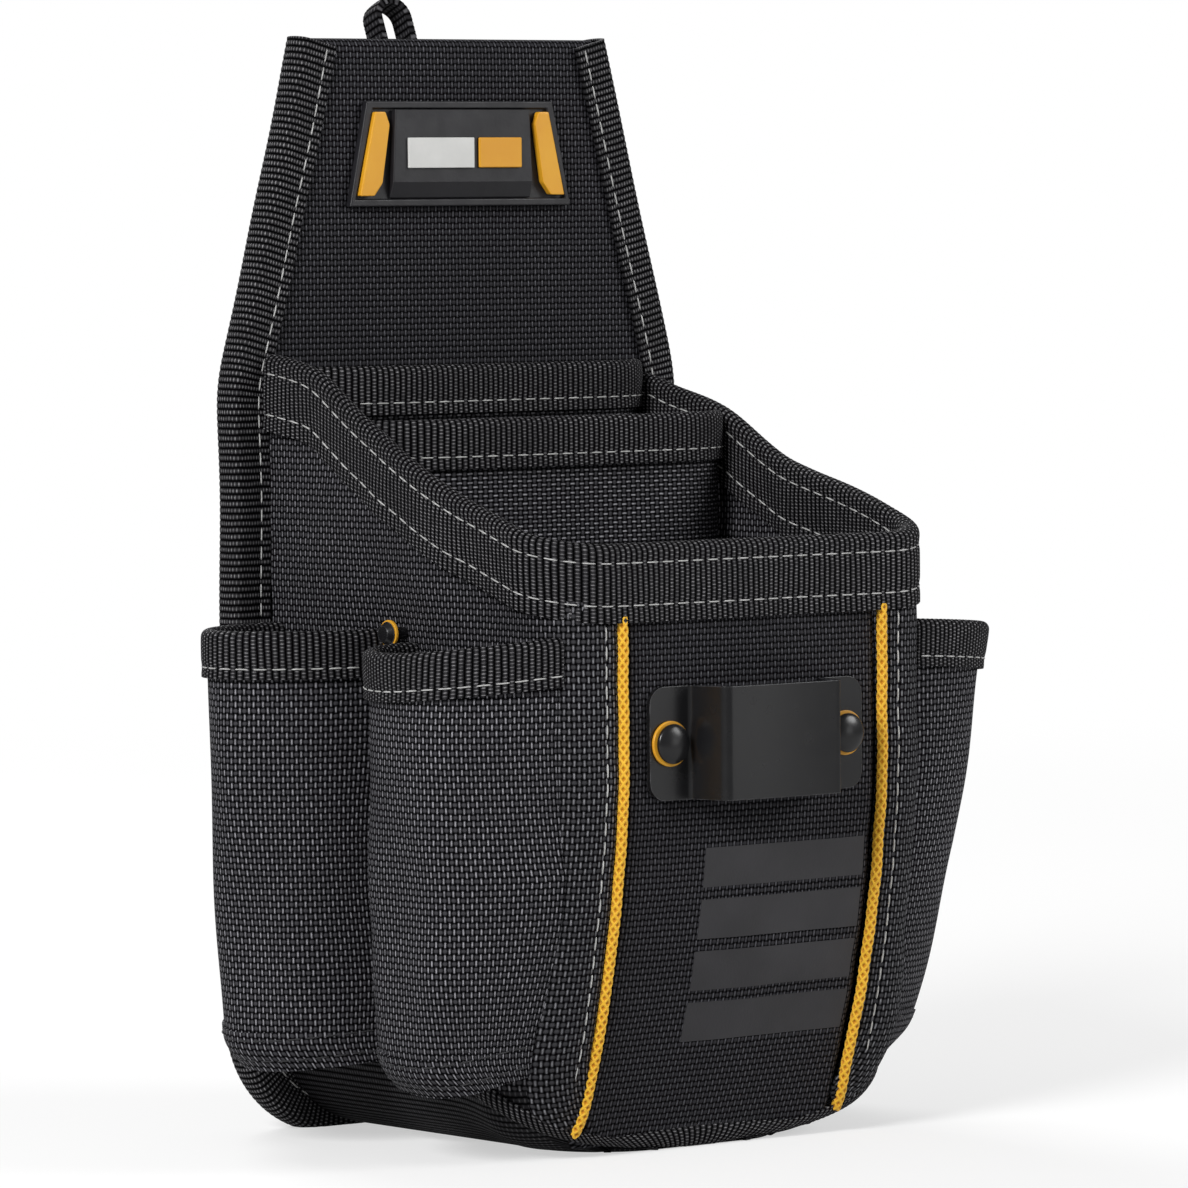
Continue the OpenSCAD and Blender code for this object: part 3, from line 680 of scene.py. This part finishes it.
def smooth_line(values, reach):
    """The values evened out over their neighbours within the reach."""
    kernel = np.hanning(reach * 2 + 3)
    padded = np.pad(values, reach + 1, mode="edge")
    return np.convolve(padded, kernel / kernel.sum(), mode="valid")


POCKET_CENTRE = (0, -50, 90)
COLLAR_T = 1.2
COLLAR_HALF = WALL / 2 + LAYER_GAP + COLLAR_T / 2
COLLAR_W = 18
COLLAR_ROWS = (4, 14)


def gusset(side, name):
    stations = side * np.linspace(STATION_SEAM - 0.4, STATION_END, 70)
    top = rim_height(stations) - 1.5
    share = np.linspace(0, 1, 70)[:, None]
    low = height_to_v(19)
    v = low + (top[None] - low) * share
    sheet(name, pocket(stations, v), WALL, join(stations, v), POCKET_CENTRE, GUSSET_SHADED_NYLON, stands_for=[name],
          slot="nylon")


def seam_tape_v(station):
    """Height of the middle of the lower seam tape: it climbs back under the front sleeves."""
    s = np.abs(station)
    return height_to_v(3.2 + 16.3 * smooth_step(40, 72, s))


def corner_strip(side, name):
    share = np.linspace(0, 1, 26)[None]
    t = np.linspace(0, 1, 150)[:, None]
    low = 7.0
    top = RIM_FRONT - 1.4
    z = low + (top - low) * t
    first = np.abs(front_station(CORD_X + CORD_R + 0.2, z))
    s = first + (STATION_SEAM + 0.8 - first) * share
    low_v = seam_tape_v(s)
    top_v = rim_height(side * s) - 1.5
    v = low_v + (top_v - low_v) * t
    crown = 0.9 * np.sin(math.pi * np.clip(share, 0, 1)) ** 0.6
    stitch_dent = 0.5 * np.exp(-((s - first - 3.4) / 0.8) ** 2)
    ridge = 0.35 + crown - stitch_dent
    sheet(name, pocket(side * s, v, ridge), WALL + 0.3, join(s, v), POCKET_CENTRE, STRIP_GLINT_NYLON, stands_for=[name],
          slot="nylon")


def front_crown(x):
    """How far the front panel stands out between the cords."""
    return 0.5 * np.cos(x / FRONT_HALF * math.pi / 2)


def front_panel():
    """Flat woven front between the two cords."""
    x = np.linspace(-FRONT_HALF, FRONT_HALF, 90)[None]
    t = np.linspace(0, 1, 130)[:, None]
    low = 3.0
    top = RIM_FRONT - 1.5
    z = low + (top - low) * t
    roll = 0.2 - 1.1 * smooth_step(FRONT_HALF - 2.2, FRONT_HALF, np.abs(x)) + front_crown(x)
    grid = pocket(front_station(x, z), height_to_v(z), roll)
    sheet("front_panel_fabric", grid, WALL, join(x, z), POCKET_CENTRE, FAINT_GLINT_NYLON, stands_for=["front_panel"],
          slot="nylon")


def bottom_panel():
    """Ribbed webbing: down one rounded side, across the floor and up the other."""
    sides = np.linspace(STATION_END, STATION_SEAM, 60)
    corner = np.linspace(STATION_SEAM - 0.6, FLAT, 14)
    s = np.concatenate([sides, corner])
    top = np.where(s >= STATION_SEAM, height_to_v(20), FLOOR_V + 1.2)[:, None]
    share = np.linspace(0, 1, 26)[None]
    v = top + (FLOOR_V - top) * share
    s = s[:, None]
    fill = corner_fill(s, v)[..., None]
    left = shell(-s, v) + shell_normal(-s, v) * fill
    right = (shell(s, v) + shell_normal(s, v) * fill)[:, ::-1]
    across = np.linspace(0, 1, 40)[None, 1:-1, None]
    floor = left[:, -1:, :] * (1 - across) + right[:, :1, :] * across
    grid = np.concatenate([left, floor, right], 1)
    length = path_length(grid[0])
    rib = 0.12 * np.abs(np.cos(length * math.pi / WEB_RIB))
    centre = (0, -50, 20)
    grid = grid + grid_normals(grid, centre) * (rib[:, None] - 0.12)
    grid[..., 2] = np.maximum(grid[..., 2], 0.02)
    sheet("bottom_webbing", grid, WALL - 0.2, join(s, length), centre, WEBBING, stands_for=["bottom_panel"],
          slot="webbing")


def collar_frame():
    stations = np.linspace(-STATION_END, STATION_END, 900)
    rim = smooth_line(rim_height(stations), 20)
    path = pocket(stations, rim, -WALL / 2)
    path[:, 2] = rim
    out = shell_normal(stations, rim)
    down = pocket(stations, rim - 8, -WALL / 2) - path
    return path, unit(down), out


def collar():
    path, down, out = collar_frame()
    folded_tape("collar_webbing", "collar_stitches", "collar", path, down, out, COLLAR_W, COLLAR_HALF, 0.25,
                COLLAR_ROWS, thick=COLLAR_T)


def front_seam_tape():
    s = np.linspace(-STATION_SEAM - 13, STATION_SEAM + 13, 200)
    v = seam_tape_v(s)
    path = pocket(s, v, 0.75)
    out = shell_normal(s, v)
    up = unit(pocket(s, v + 2, 0.75) - path)
    line = [(-3.4, -1.4), (-3.0, -0.6), (-2.2, -0.05), (-1.1, 0.16), (0, 0.2), (1.0, 0.12), (1.8, -0.12),
            (2.5, -0.6)]
    band("front_seam_tape_woven", path, up, out, line, TAPE_T, TAPE, stands_for=["front_seam_tape"],
         slot="tape")


def cord_path(side, x, low=7.4):
    z = np.linspace(low, RIM_FRONT - COLLAR_W + 1.5, 120)
    s = front_station(side * x, z)
    v = height_to_v(z)
    return s, v


def cords():
    rows = []
    for side, name in ((-1, "left_cord"), (1, "right_cord")):
        s, v = cord_path(side, CORD_X)
        tube(name + "_braid", pocket(s, v, 0.75), shell_normal(s, v), CORD_R, CORD, stands_for=[name],
             slot="cord")
        s, v = cord_path(side, CORD_X + 3.7 + CORD_R, low=15)
        rows.append((pocket(s, v, 0.95), shell_normal(s, v)))
    stitches("corner_strip_stitches", rows, THREAD)


def front_print():
    """Plain satin bars, printed on the weave."""
    centre_x = 11
    half = 25
    low_z = 27
    bar_h = 9.5
    pitch = 12.5
    for k in range(4):
        x = centre_x + np.linspace(-half, half, 60)[None]
        z = low_z + k * pitch + np.linspace(0, bar_h, 14)[:, None]
        grid = pocket(front_station(x, z), height_to_v(z), 0.28 + front_crown(x))
        stands_for = ["front_print"] if k == 0 else []
        sheet(f"front_print_bar_{k + 1}", grid, 0.25, join(x, z), POCKET_CENTRE, INK, stands_for=stands_for,
              slot="print_ink")


# ---------- back panel ----------


def panel_half(z, inset):
    """Half width of the back panel at a height."""
    z = np.asarray(z, float)
    taper = np.interp(z, (SHOULDER_Z, POUCH_H), (BACK_W / 2, TOP_W / 2))
    low = BACK_W / 2 - BACK_CORNER_R + np.sqrt(np.maximum(BACK_CORNER_R ** 2
                                                          - np.maximum(BACK_CORNER_R - z, 0) ** 2, 0))
    return np.minimum(taper, low) - inset


def along_y(points, way):
    """The same direction, back (1) or front (-1), for each point."""
    return np.zeros_like(points) + (0, way, 0)


def back_cover():
    """Woven front of the back panel, turned over the top edge and hemmed behind."""
    r = PANEL_STACK / 2
    front_z = np.linspace(4, POUCH_H - r, 130)
    turn = np.linspace(0, math.pi, 14)[1:-1]
    rear_z = np.linspace(POUCH_H - r, POUCH_H - 16, 12)
    y = np.concatenate([np.zeros(len(front_z)), r - r * np.cos(turn), np.full(len(rear_z), PANEL_STACK)])
    z = np.concatenate([front_z, POUCH_H - r + r * np.sin(turn), rear_z])
    share = np.linspace(-1, 1, 90)
    x = panel_half(np.minimum(z, POUCH_H - r), 2.2)[:, None] * share[None]
    along = path_length(join(y, z))[:, None]
    y = y[:, None]
    z = z[:, None]
    soft = (1 - share ** 6) * smooth_step(190, 215, z) * (1 - smooth_step(258, 266, z))
    puff = -0.25 * ripple(x, z, 70, 3) * soft - 0.15 * soft
    grid = join(x, y + puff * (y < r), z)
    sheet("back_panel_cover", grid, 1.1, join(x, along), (0, r, 130), FAINT_GLINT_NYLON, stands_for=["back_panel"],
          slot="nylon")
    hem = join(np.linspace(-32, 32, 90), PANEL_STACK + 0.1, POUCH_H - 13)
    stitches("top_hem_stitches", [(hem, along_y(hem, 1))], DARK_THREAD)


def rear_lining():
    z = np.linspace(4, POUCH_H - 16.4, 120)[:, None]
    share = np.linspace(-1, 1, 80)[None]
    x = panel_half(z, 2.2) * share
    soft = 1 - share ** 6
    grid = join(x, PANEL_STACK + 0.5 * soft * ripple(x, z, 80, 8), z)
    sheet("rear_lining", grid, 1.2, join(x, z), (0, 0, 130), FAINT_GLINT_NYLON, stands_for=["rear_panel"], slot="nylon")


def stiffener():
    """Plain board between the cover and the lining, ending below the cover's top fold."""
    z = np.linspace(6, POUCH_H - 4.2, 60)[:, None]
    x = panel_half(z, 5.2) * np.linspace(-1, 1, 30)[None]
    sheet("stiffener_board", join(x, 2.3, z), 1.1, join(x, z), (0, 100, 130), BOARD,
          stands_for=["back_stiffener"], slot="board")


EDGE_TAPE_W = 10.2
EDGE_HALF = PANEL_STACK / 2 + LAYER_GAP + TAPE_T / 2
EDGE_ROW = 7.6


def edge_frame():
    """The back panel's outline from the top left, down, along the floor and up to the top right."""
    turn = np.linspace(0, math.pi / 2, 24)
    corner_x = BACK_W / 2 - BACK_CORNER_R
    left = [(-TOP_W / 2, POUCH_H), (-BACK_W / 2, SHOULDER_Z)]
    left += [(-corner_x - BACK_CORNER_R * math.cos(a), BACK_CORNER_R - BACK_CORNER_R * math.sin(a))
             for a in turn]
    points = np.array(left + [(-x, z) for x, z in left[::-1]])
    _, points = resample(points, 0.5)
    reach = 24
    x = smooth_line(points[:, 0], reach)
    z = smooth_line(points[:, 1], reach)
    ends = np.minimum(np.arange(len(x)), np.arange(len(x))[::-1]) < reach + 2
    x[ends] = points[ends, 0]
    z[ends] = points[ends, 1]
    z = np.maximum(z, 0)
    path = join(x, PANEL_STACK / 2, z)
    along = unit(np.gradient(path, axis=0))
    inward = join(-along[:, 2], 0, along[:, 0])
    return path, inward, along_y(path, -1)


def edge_tape():
    path, inward, front = edge_frame()
    wave = 0.35 * ripple(path[:, 0], path[:, 2], 55, 21)[:, None]
    shifted = path + inward * (wave - 1.3)
    folded_tape("edge_tape_woven", "edge_tape_stitches", "edge_tape", shifted, inward, front, EDGE_TAPE_W,
                EDGE_HALF, 0.35, (EDGE_ROW,), crown=0.45)


def belt_tunnel():
    """Wide webbing sewn above and below, standing off to take a belt."""
    t = 1.6
    y0 = PANEL_STACK + LAYER_GAP
    y1 = y0 + 11
    z0 = 158
    z1 = z0 + 66
    corners = [(y0 + t, z0 - 11), (y0 + t, z0 - 2), (y1 + t, z0 + 7), (y1 + t + 0.6, (z0 + z1) / 2),
               (y1 + t, z1 - 7), (y0 + t, z1 + 2), (y0 + t, z1 + 11)]
    s, line = resample(corners, 0.4)
    x = np.linspace(-39, 39, 40)
    grid = join(x, smooth_line(line[:, 0], 8)[:, None], smooth_line(line[:, 1], 8)[:, None])
    rib = 0.16 * (np.abs(np.cos(s * math.pi / WEB_RIB)) - 1)
    centre = (0, 0, 190)
    grid = grid + grid_normals(grid, centre) * rib[:, None, None]
    sheet("belt_tunnel_webbing", grid, t - 0.2, join(x, s[:, None]), centre, WEBBING,
          stands_for=["belt_tunnel"], slot="webbing")
    sewn_x = 36
    lines = [join(np.linspace(-sewn_x, sewn_x, 60), y0 + t, z) for z in (z0 - 9, z0 - 4, z1 + 4, z1 + 9)]
    for low, high in ((z0 - 9, z0 - 4), (z1 + 4, z1 + 9)):
        lines += [join(x_end, y0 + t, np.linspace(low, high, 60)) for x_end in (-sewn_x, sewn_x)]
    stitches("belt_tunnel_stitches", [(line, along_y(line, 1)) for line in lines], DARK_THREAD)


def hang_loop():
    """Webbing arch sewn behind the top edge. It bends where it leaves its bar-tacked root."""
    lean = math.radians(22)
    r = 4.7
    top = 18
    legs = np.linspace(-5, top, 30)
    turn = np.linspace(math.pi, 0, 24)[1:-1]
    around = np.concatenate([np.full(len(legs), math.pi), turn, np.zeros(len(legs))])
    h = np.concatenate([legs, top + r * np.sin(turn), legs[::-1]])
    above = np.maximum(h, 0)
    y = LOOP_Y + above * math.sin(lean)
    z = LOOP_Z + above * math.cos(lean) + np.minimum(h, 0)
    path = join(LOOP_X + r * np.cos(around), y, z)
    out = join(np.cos(around), np.sin(around) * math.sin(lean), np.sin(around) * math.cos(lean))
    bend = smooth_step(0, 4, h)[:, None]
    width = np.array([0, math.cos(lean), -math.sin(lean)]) * bend + np.array([0, 1.0, 0]) * (1 - bend)
    line = join(np.linspace(-3.1, 3.1, 9), -0.25 * np.linspace(-1, 1, 9) ** 2)
    obj = band("hang_loop_webbing", path, width, out, line, 1.6, WEBBING, rib=LOOP_RIB, body=None,
               stands_for=["hang_loop"], slot="webbing")
    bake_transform(obj)


def hang_loop_root():
    z = np.linspace(LOOP_Z - 16, LOOP_Z - 1.6, 30)
    y = PANEL_STACK + 1.7
    path = join(LOOP_X, y, z)
    across = np.zeros_like(path) + (1, 0, 0)
    line = join(np.linspace(-5.6, 5.6, 13), 0.2 * np.linspace(-1, 1, 13) ** 4)
    band("hang_loop_root_webbing", path, across, along_y(path, -1), line, 2.5, WEBBING, rib=LOOP_RIB,
         stands_for=["hang_loop_root"], slot="webbing")
    rows = []
    for z_row in (LOOP_Z - 6, LOOP_Z - 13):
        for x in np.arange(-4.6, 4.7, 0.7):
            low = (LOOP_X + x, y + 1.3, z_row - 1)
            high = (LOOP_X + x + 0.5, y + 1.3, z_row + 1)
            tack = np.array([low, high])
            rows.append((tack, along_y(tack, 1)))
    stitches("hang_loop_bar_tack", rows, DARK_THREAD, pitch=3, length=1.9, radius=0.25)


# ---------- dividers ----------


DIVIDER_T = 1.2


def divider(name, distance, half, top):
    """Upright sheet with its ends turned back into the side seams, and a folded tape over its top."""

    def plan(x):
        return -distance + 12 * np.abs(x / half) ** 6

    def wave(x, z):
        return 0.8 * ripple(x, z, 90, distance) * (1 - np.abs(x / half) ** 4)

    x = np.linspace(-half, half, 90)
    z = np.linspace(6, top - 1.2, 70)[:, None]
    narrow = smooth_step(0, 32, z) * 0.45 + 0.55
    grid = join(x * narrow, plan(x) + wave(x, z), z)
    sheet(name + "_sheet", grid, DIVIDER_T, join(z, x), (0, 40, 100), BRIGHT_GLINT_NYLON, stands_for=[name],
          slot="coarse_nylon")
    x = np.linspace(-half, half, 400)
    path = join(x, plan(x) + wave(x, top) + DIVIDER_T / 2, top)
    along = unit(np.gradient(path, axis=0))
    down = np.zeros_like(path) + (0, 0, -1)
    out = np.cross(along, down)
    out = out * np.sign(-out[len(x) // 2, 1])
    folded_tape(name + "_tape_woven", name + "_stitches", name + "_tape", path, down, out, 11.5,
                DIVIDER_T / 2 + LAYER_GAP + TAPE_T / 2, 0.2, (8.6,))


# ---------- sleeves ----------


def wall_x(y, z):
    """Half width of the pocket at a place in front of the back panel and a height."""
    reach = depth(z) - FRONT_R
    share = np.clip((y + reach) / (reach + POCKET_Y), 0, 1)
    straight = POCKET_FRONT_W / 2 + (POCKET_BACK_W - POCKET_FRONT_W) / 2 * share
    past = np.maximum(-y - reach, 0)
    corner = POCKET_FRONT_W / 2 - FRONT_R + np.sqrt(np.maximum(FRONT_R ** 2 - past ** 2, 0))
    under = np.maximum(BOTTOM_R - z, 0)
    loss = BOTTOM_R - np.sqrt(BOTTOM_R ** 2 - under ** 2)
    return np.where(-y > reach, corner, straight) - loss


SLEEVE_T = 1.3
# The front sleeves' front seams keep this far behind the front face, which leans back near the floor
SEAM_SETBACK = 2.3


class Sleeve:
    """Round sleeve on a side wall. Its rim and hem have heights at the middle and at the two seams."""

    def __init__(self, name, side, centre_y, half, out, taper, rim_mid, rim_ends, hem_mid, hem_ends, seed):
        self.name = name
        self.side = side
        self.centre_y = centre_y
        self.half = half
        self.out = out
        self.taper = taper
        self.rim = (rim_mid, rim_ends)
        self.hem = (hem_mid, hem_ends)
        self.seed = seed

    def edge(self, phi, levels):
        middle, (front, rear) = levels
        slope = front + (rear - front) * (phi + math.pi / 2) / math.pi
        return slope + (middle - (front + rear) / 2) * np.cos(phi) ** 1.5

    def points(self, phi, t, out=0.0):
        """Outer face: phi goes from the front seam to the rear seam, t from the hem to the rim."""
        phi, t = np.broadcast_arrays(phi, t)
        z = self.edge(phi, self.hem) + (self.edge(phi, self.rim) - self.edge(phi, self.hem)) * t
        bulge = np.abs(np.cos(phi))
        shift = np.sin(phi)
        belly = 1.2 * np.sin(math.pi * np.clip(t, 0, 1))
        curl = 3.2 * (1 - smooth_step(-0.01, 0.07, t)) ** 1.5
        reach = self.out - self.taper * (1 - t) + belly - curl
        fold = 1.5 * ripple(phi * 22, z * 0.35, 26, self.seed)
        fold = fold + 0.6 * ripple(phi * 25, z, 34, self.seed + 50)
        reach = reach + fold * np.cos(phi) * (0.35 + 0.65 * np.sin(math.pi * np.clip(t, 0, 1)))
        room = depth(z) - SEAM_SETBACK + self.centre_y
        narrow = 1 - (1 - np.minimum(room / self.half, 1)) * smooth_step(0, 1, -shift)
        y = self.centre_y + self.half * shift * narrow
        station = STATION_END + (y - POCKET_Y) * SIDE / (POCKET_D - FRONT_R + POCKET_Y)
        hug = sag(self.side * station, z) * (1 - bulge) ** 2
        x = self.side * (wall_x(y, z) + 0.4 + hug + (reach + out) * bulge)
        return join(x, y + out * shift * 0.8, z)

    def inside(self):
        return (self.side * (wall_x(self.centre_y, 70) + 8), self.centre_y, 70)

    def build(self):
        phi = np.linspace(-math.pi / 2, math.pi / 2, 90)[None]
        t = np.linspace(0.004, 0.99, 90)[:, None]
        grid = self.points(phi, t)
        across = path_length(self.points(phi[0], np.array(0.5)))
        sheet(self.name + "_fabric", grid, SLEEVE_T, join(across, grid[..., 2]), self.inside(), BRIGHT_GLINT_NYLON,
              stands_for=[self.name], slot="coarse_nylon")
        t = np.linspace(-0.003, 0.088, 14)[:, None]
        hem = self.points(phi, t, 0.55)
        sheet(self.name + "_hem", hem, 2.4, join(across, hem[..., 2]), self.inside(), BRIGHT_GLINT_NYLON,
              slot="coarse_nylon")
        rows = []
        for level in (0.022, 0.07):
            line = self.points(np.linspace(-1.45, 1.45, 120), np.array(level), 0.62)
            out = line - np.asarray(self.inside())
            out[:, 2] = 0
            rows.append((line, unit(out)))
        stitches(self.name + "_hem_stitches", rows, DARK_THREAD)
        self.rim_tape()

    def rim_tape(self):
        phi = np.linspace(-math.pi / 2, math.pi / 2, 160)
        path = self.points(phi, np.array(1.0), -SLEEVE_T / 2)
        low = self.points(phi, np.array(0.9), -SLEEVE_T / 2)
        along = unit(np.gradient(path, axis=0))
        down = unit(low - path)
        out = unit(np.cross(along, down))
        if np.sum(out[80] * (path[80] - np.asarray(self.inside()))) < 0:
            out = -out
        folded_tape(self.name + "_rim_tape", self.name + "_rim_stitches", self.name + "_tape", path, down,
                    out, 11, SLEEVE_T / 2 + LAYER_GAP + TAPE_T / 2, 0.2, (8.5,))


# Side, centre and half length along the wall, reach out, taper, rim and hem heights, seed of the folds
SLEEVES = [
    Sleeve("left_rear_sleeve", -1, -26, 21.8, 33.3, 4.6, 125, (125, 125), 19.5, (22, 24), 31),
    Sleeve("left_front_sleeve", -1, -83, 26.6, 24, 3, 121.5, (125, 122), 17, (22, 22), 32),
    Sleeve("right_rear_sleeve", 1, -26, 21.8, 33.3, 12, 125, (125, 125), 19.5, (22, 24), 33),
    Sleeve("right_front_sleeve", 1, -83, 26.6, 34, 26, 121.5, (125, 122), 18.5, (21, 21), 34),
]


# ---------- metal parts ----------

CLIP_Y = -(POCKET_D + LAYER_GAP)
CLIP_Z = 86
CLIP_H = 27
RIVET_X = 27


def tape_clip():
    """Bent sheet with a raised bridge, rounded bends and rounded corners."""
    t = 1.4
    out = 11.8
    foot = 20
    half = 33
    left = [(-half, t), (-foot - 0.6, t), (-foot + 2, out - 0.8), (-foot + 3, out)]
    corners = np.array(left + [(-x, y) for x, y in left[::-1]])
    _, line = resample(corners, 0.25)
    line = join(smooth_line(line[:, 0], 5), smooth_line(line[:, 1], 5))
    s = path_length(line)
    edge = np.minimum(s, s[-1] - s)
    r = 4.5
    cut = np.where(edge < r, r - np.sqrt(np.maximum(r * r - (r - edge) ** 2, 0)), 0)
    z = CLIP_Z + cut + (CLIP_H - 2 * cut) * np.linspace(0, 1, 30)[:, None]
    crown = 0.5 * np.clip(1 - (line[:, 0] / (foot - 3)) ** 2, 0, 1)
    grid = join(line[:, 0], CLIP_Y - (line[:, 1] + crown), z)
    clip = sheet("tape_clip_bent_sheet", grid, t - 0.1, join(s, z), (0, -60, 100), STEEL,
                 stands_for=["tape_clip"], slot="black_steel", sharp=40)
    round_edges(clip, 0.3, 50)


def rivets():
    base = 2.4
    r = 4.75
    dome = [(4.4, base), (4.7, base + 0.25), (r, base + 0.7)]
    dome += [(r * math.cos(a), base + 0.7 + 1.5 * math.sin(a)) for a in np.linspace(0.15, 1.35, 9)]
    dome += [(0.3, base + 2.2)]
    shank = [(1.7, -4.4), (1.7, base), (4.4, base)]
    centres = [(x, CLIP_Y, CLIP_Z + CLIP_H / 2) for x in (-RIVET_X, RIVET_X)]
    lathe("clip_rivet_domes", shank + dome[1:], centres, (0, -1, 0), STEEL, stands_for=["clip_rivets"],
          slot="black_steel")
    keep_cad("clip_rivet_washers", WASHER, 0.2)
    keep_cad("side_rivet_washers", WASHER, 0.15)
    keep_cad("side_rivets", STEEL, 0.4)
    keep_cad("rivet_backing_washers", PLAIN_STEEL, 0.2)


def label():
    keep_cad("label_base", RUBBER, 0.35)
    keep_cad("label_plate", RUBBER, 0.35)
    keep_cad("label_light_bar", LIGHT_RUBBER, 0.2)
    keep_cad("label_yellow_bars", YELLOW_RUBBER, 0.35)


# ---------- the pouch ----------

back_cover()
rear_lining()
edge_tape()
belt_tunnel()
hang_loop_root()
hang_loop()
label()
stiffener()
gusset(-1, "left_gusset")
gusset(1, "right_gusset")
corner_strip(-1, "left_corner_strip")
corner_strip(1, "right_corner_strip")
front_panel()
bottom_panel()
collar()
front_seam_tape()
cords()
front_print()
divider("rear_divider", 14, 55.3, 187)
divider("middle_divider", 46, 55.5, 174.5)
for made in SLEEVES:
    made.build()
tape_clip()
rivets()

# ---------- stage, light and camera ----------


def floor():
    size = 6
    mesh = bpy.data.meshes.new("floor")
    corners = [(-size, -size, 0), (size, -size, 0), (size, size, 0), (-size, size, 0)]
    mesh.from_pydata(corners, [], [(0, 1, 2, 3)])
    obj = bpy.data.objects.new("floor", mesh)
    bpy.context.scene.collection.objects.link(obj)
    g = Graph("floor_paper")
    place = g.tree.nodes.new("ShaderNodeTexCoord")
    reach = g.tree.nodes.new("ShaderNodeVectorMath")
    reach.operation = "LENGTH"
    g.put(reach.inputs[0], place.outputs["Object"])
    away = g.spread(reach.outputs["Value"], 0.4, 1.5)
    grey = g.math("SUBTRACT", 0.5, g.times(away, 0.5))
    shade = g.tree.nodes.new("ShaderNodeCombineColor")
    for socket in shade.inputs:
        g.put(socket, grey)
    glow = g.plus(0.55, g.times(away, 0.45))
    seen = g.tree.nodes.new("ShaderNodeLightPath").outputs["Is Camera Ray"]
    dim = 0.12
    shown = g.plus(dim, g.times(seen, g.math("SUBTRACT", glow, dim)))
    mesh.materials.append(g.finish(shade.outputs[0], 0.9, Specular_IOR_Level=0.0,
                                   Emission_Color=(1, 1, 1, 1), Emission_Strength=shown))


def area_light(name, place, target, size, power):
    data = bpy.data.lights.new(name, "AREA")
    data.shape = "DISK"
    data.size = size
    data.energy = power
    obj = bpy.data.objects.new(name, data)
    bpy.context.scene.collection.objects.link(obj)
    obj.location = place
    obj.rotation_mode = "QUATERNION"
    obj.rotation_quaternion = (Vector(target) - Vector(place)).to_track_quat("-Z", "Y")


def studio():
    floor()
    target = (0, -0.05, 0.13)
    area_light("key", (-1.65, -0.75, 1.15), target, 0.7, 32)
    area_light("front_strip", (1.0, -1.62, 0.08), (0, -0.12, 0.1), 0.42, 0.9)
    area_light("right_fill", (1.3, -1.3, 0.9), target, 0.9, 15)
    area_light("rim", (0.3, 1.4, 1.3), target, 0.9, 14)
    world = bpy.data.worlds.new("studio")
    bpy.context.scene.world = world
    world.use_nodes = True
    tree = world.node_tree
    back = tree.nodes["Background"]
    back.inputs["Color"].default_value = (1, 1, 1, 1)
    seen = tree.nodes.new("ShaderNodeLightPath").outputs["Is Camera Ray"]
    strength = tree.nodes.new("ShaderNodeMapRange")
    strength.inputs["To Min"].default_value = 0.2
    strength.inputs["To Max"].default_value = 1.0
    tree.links.new(seen, strength.inputs["Value"])
    tree.links.new(strength.outputs[0], back.inputs["Strength"])
    bpy.context.scene.view_settings.view_transform = "Standard"


def camera():
    data = bpy.data.cameras.new("camera")
    data.sensor_width = 36
    data.lens = 233.5
    data.clip_start = 0.1
    data.clip_end = 30
    obj = bpy.data.objects.new("camera", data)
    bpy.context.scene.collection.objects.link(obj)
    forward = Vector((0.62171, 0.78159, -0.05090)).normalized()
    roll = math.radians(-0.5)
    right = forward.cross(Vector((0, 0, 1))).normalized()
    up = right.cross(forward)
    tilted_right = right * math.cos(roll) + up * math.sin(roll)
    tilted_up = up * math.cos(roll) - right * math.sin(roll)
    turn = Matrix((tilted_right, tilted_up, -forward)).transposed()
    place = (-1.16906, -1.52342, 0.22739)
    obj.matrix_world = Matrix.Translation(place) @ turn.to_4x4()
    bpy.context.scene.camera = obj


studio()
camera()
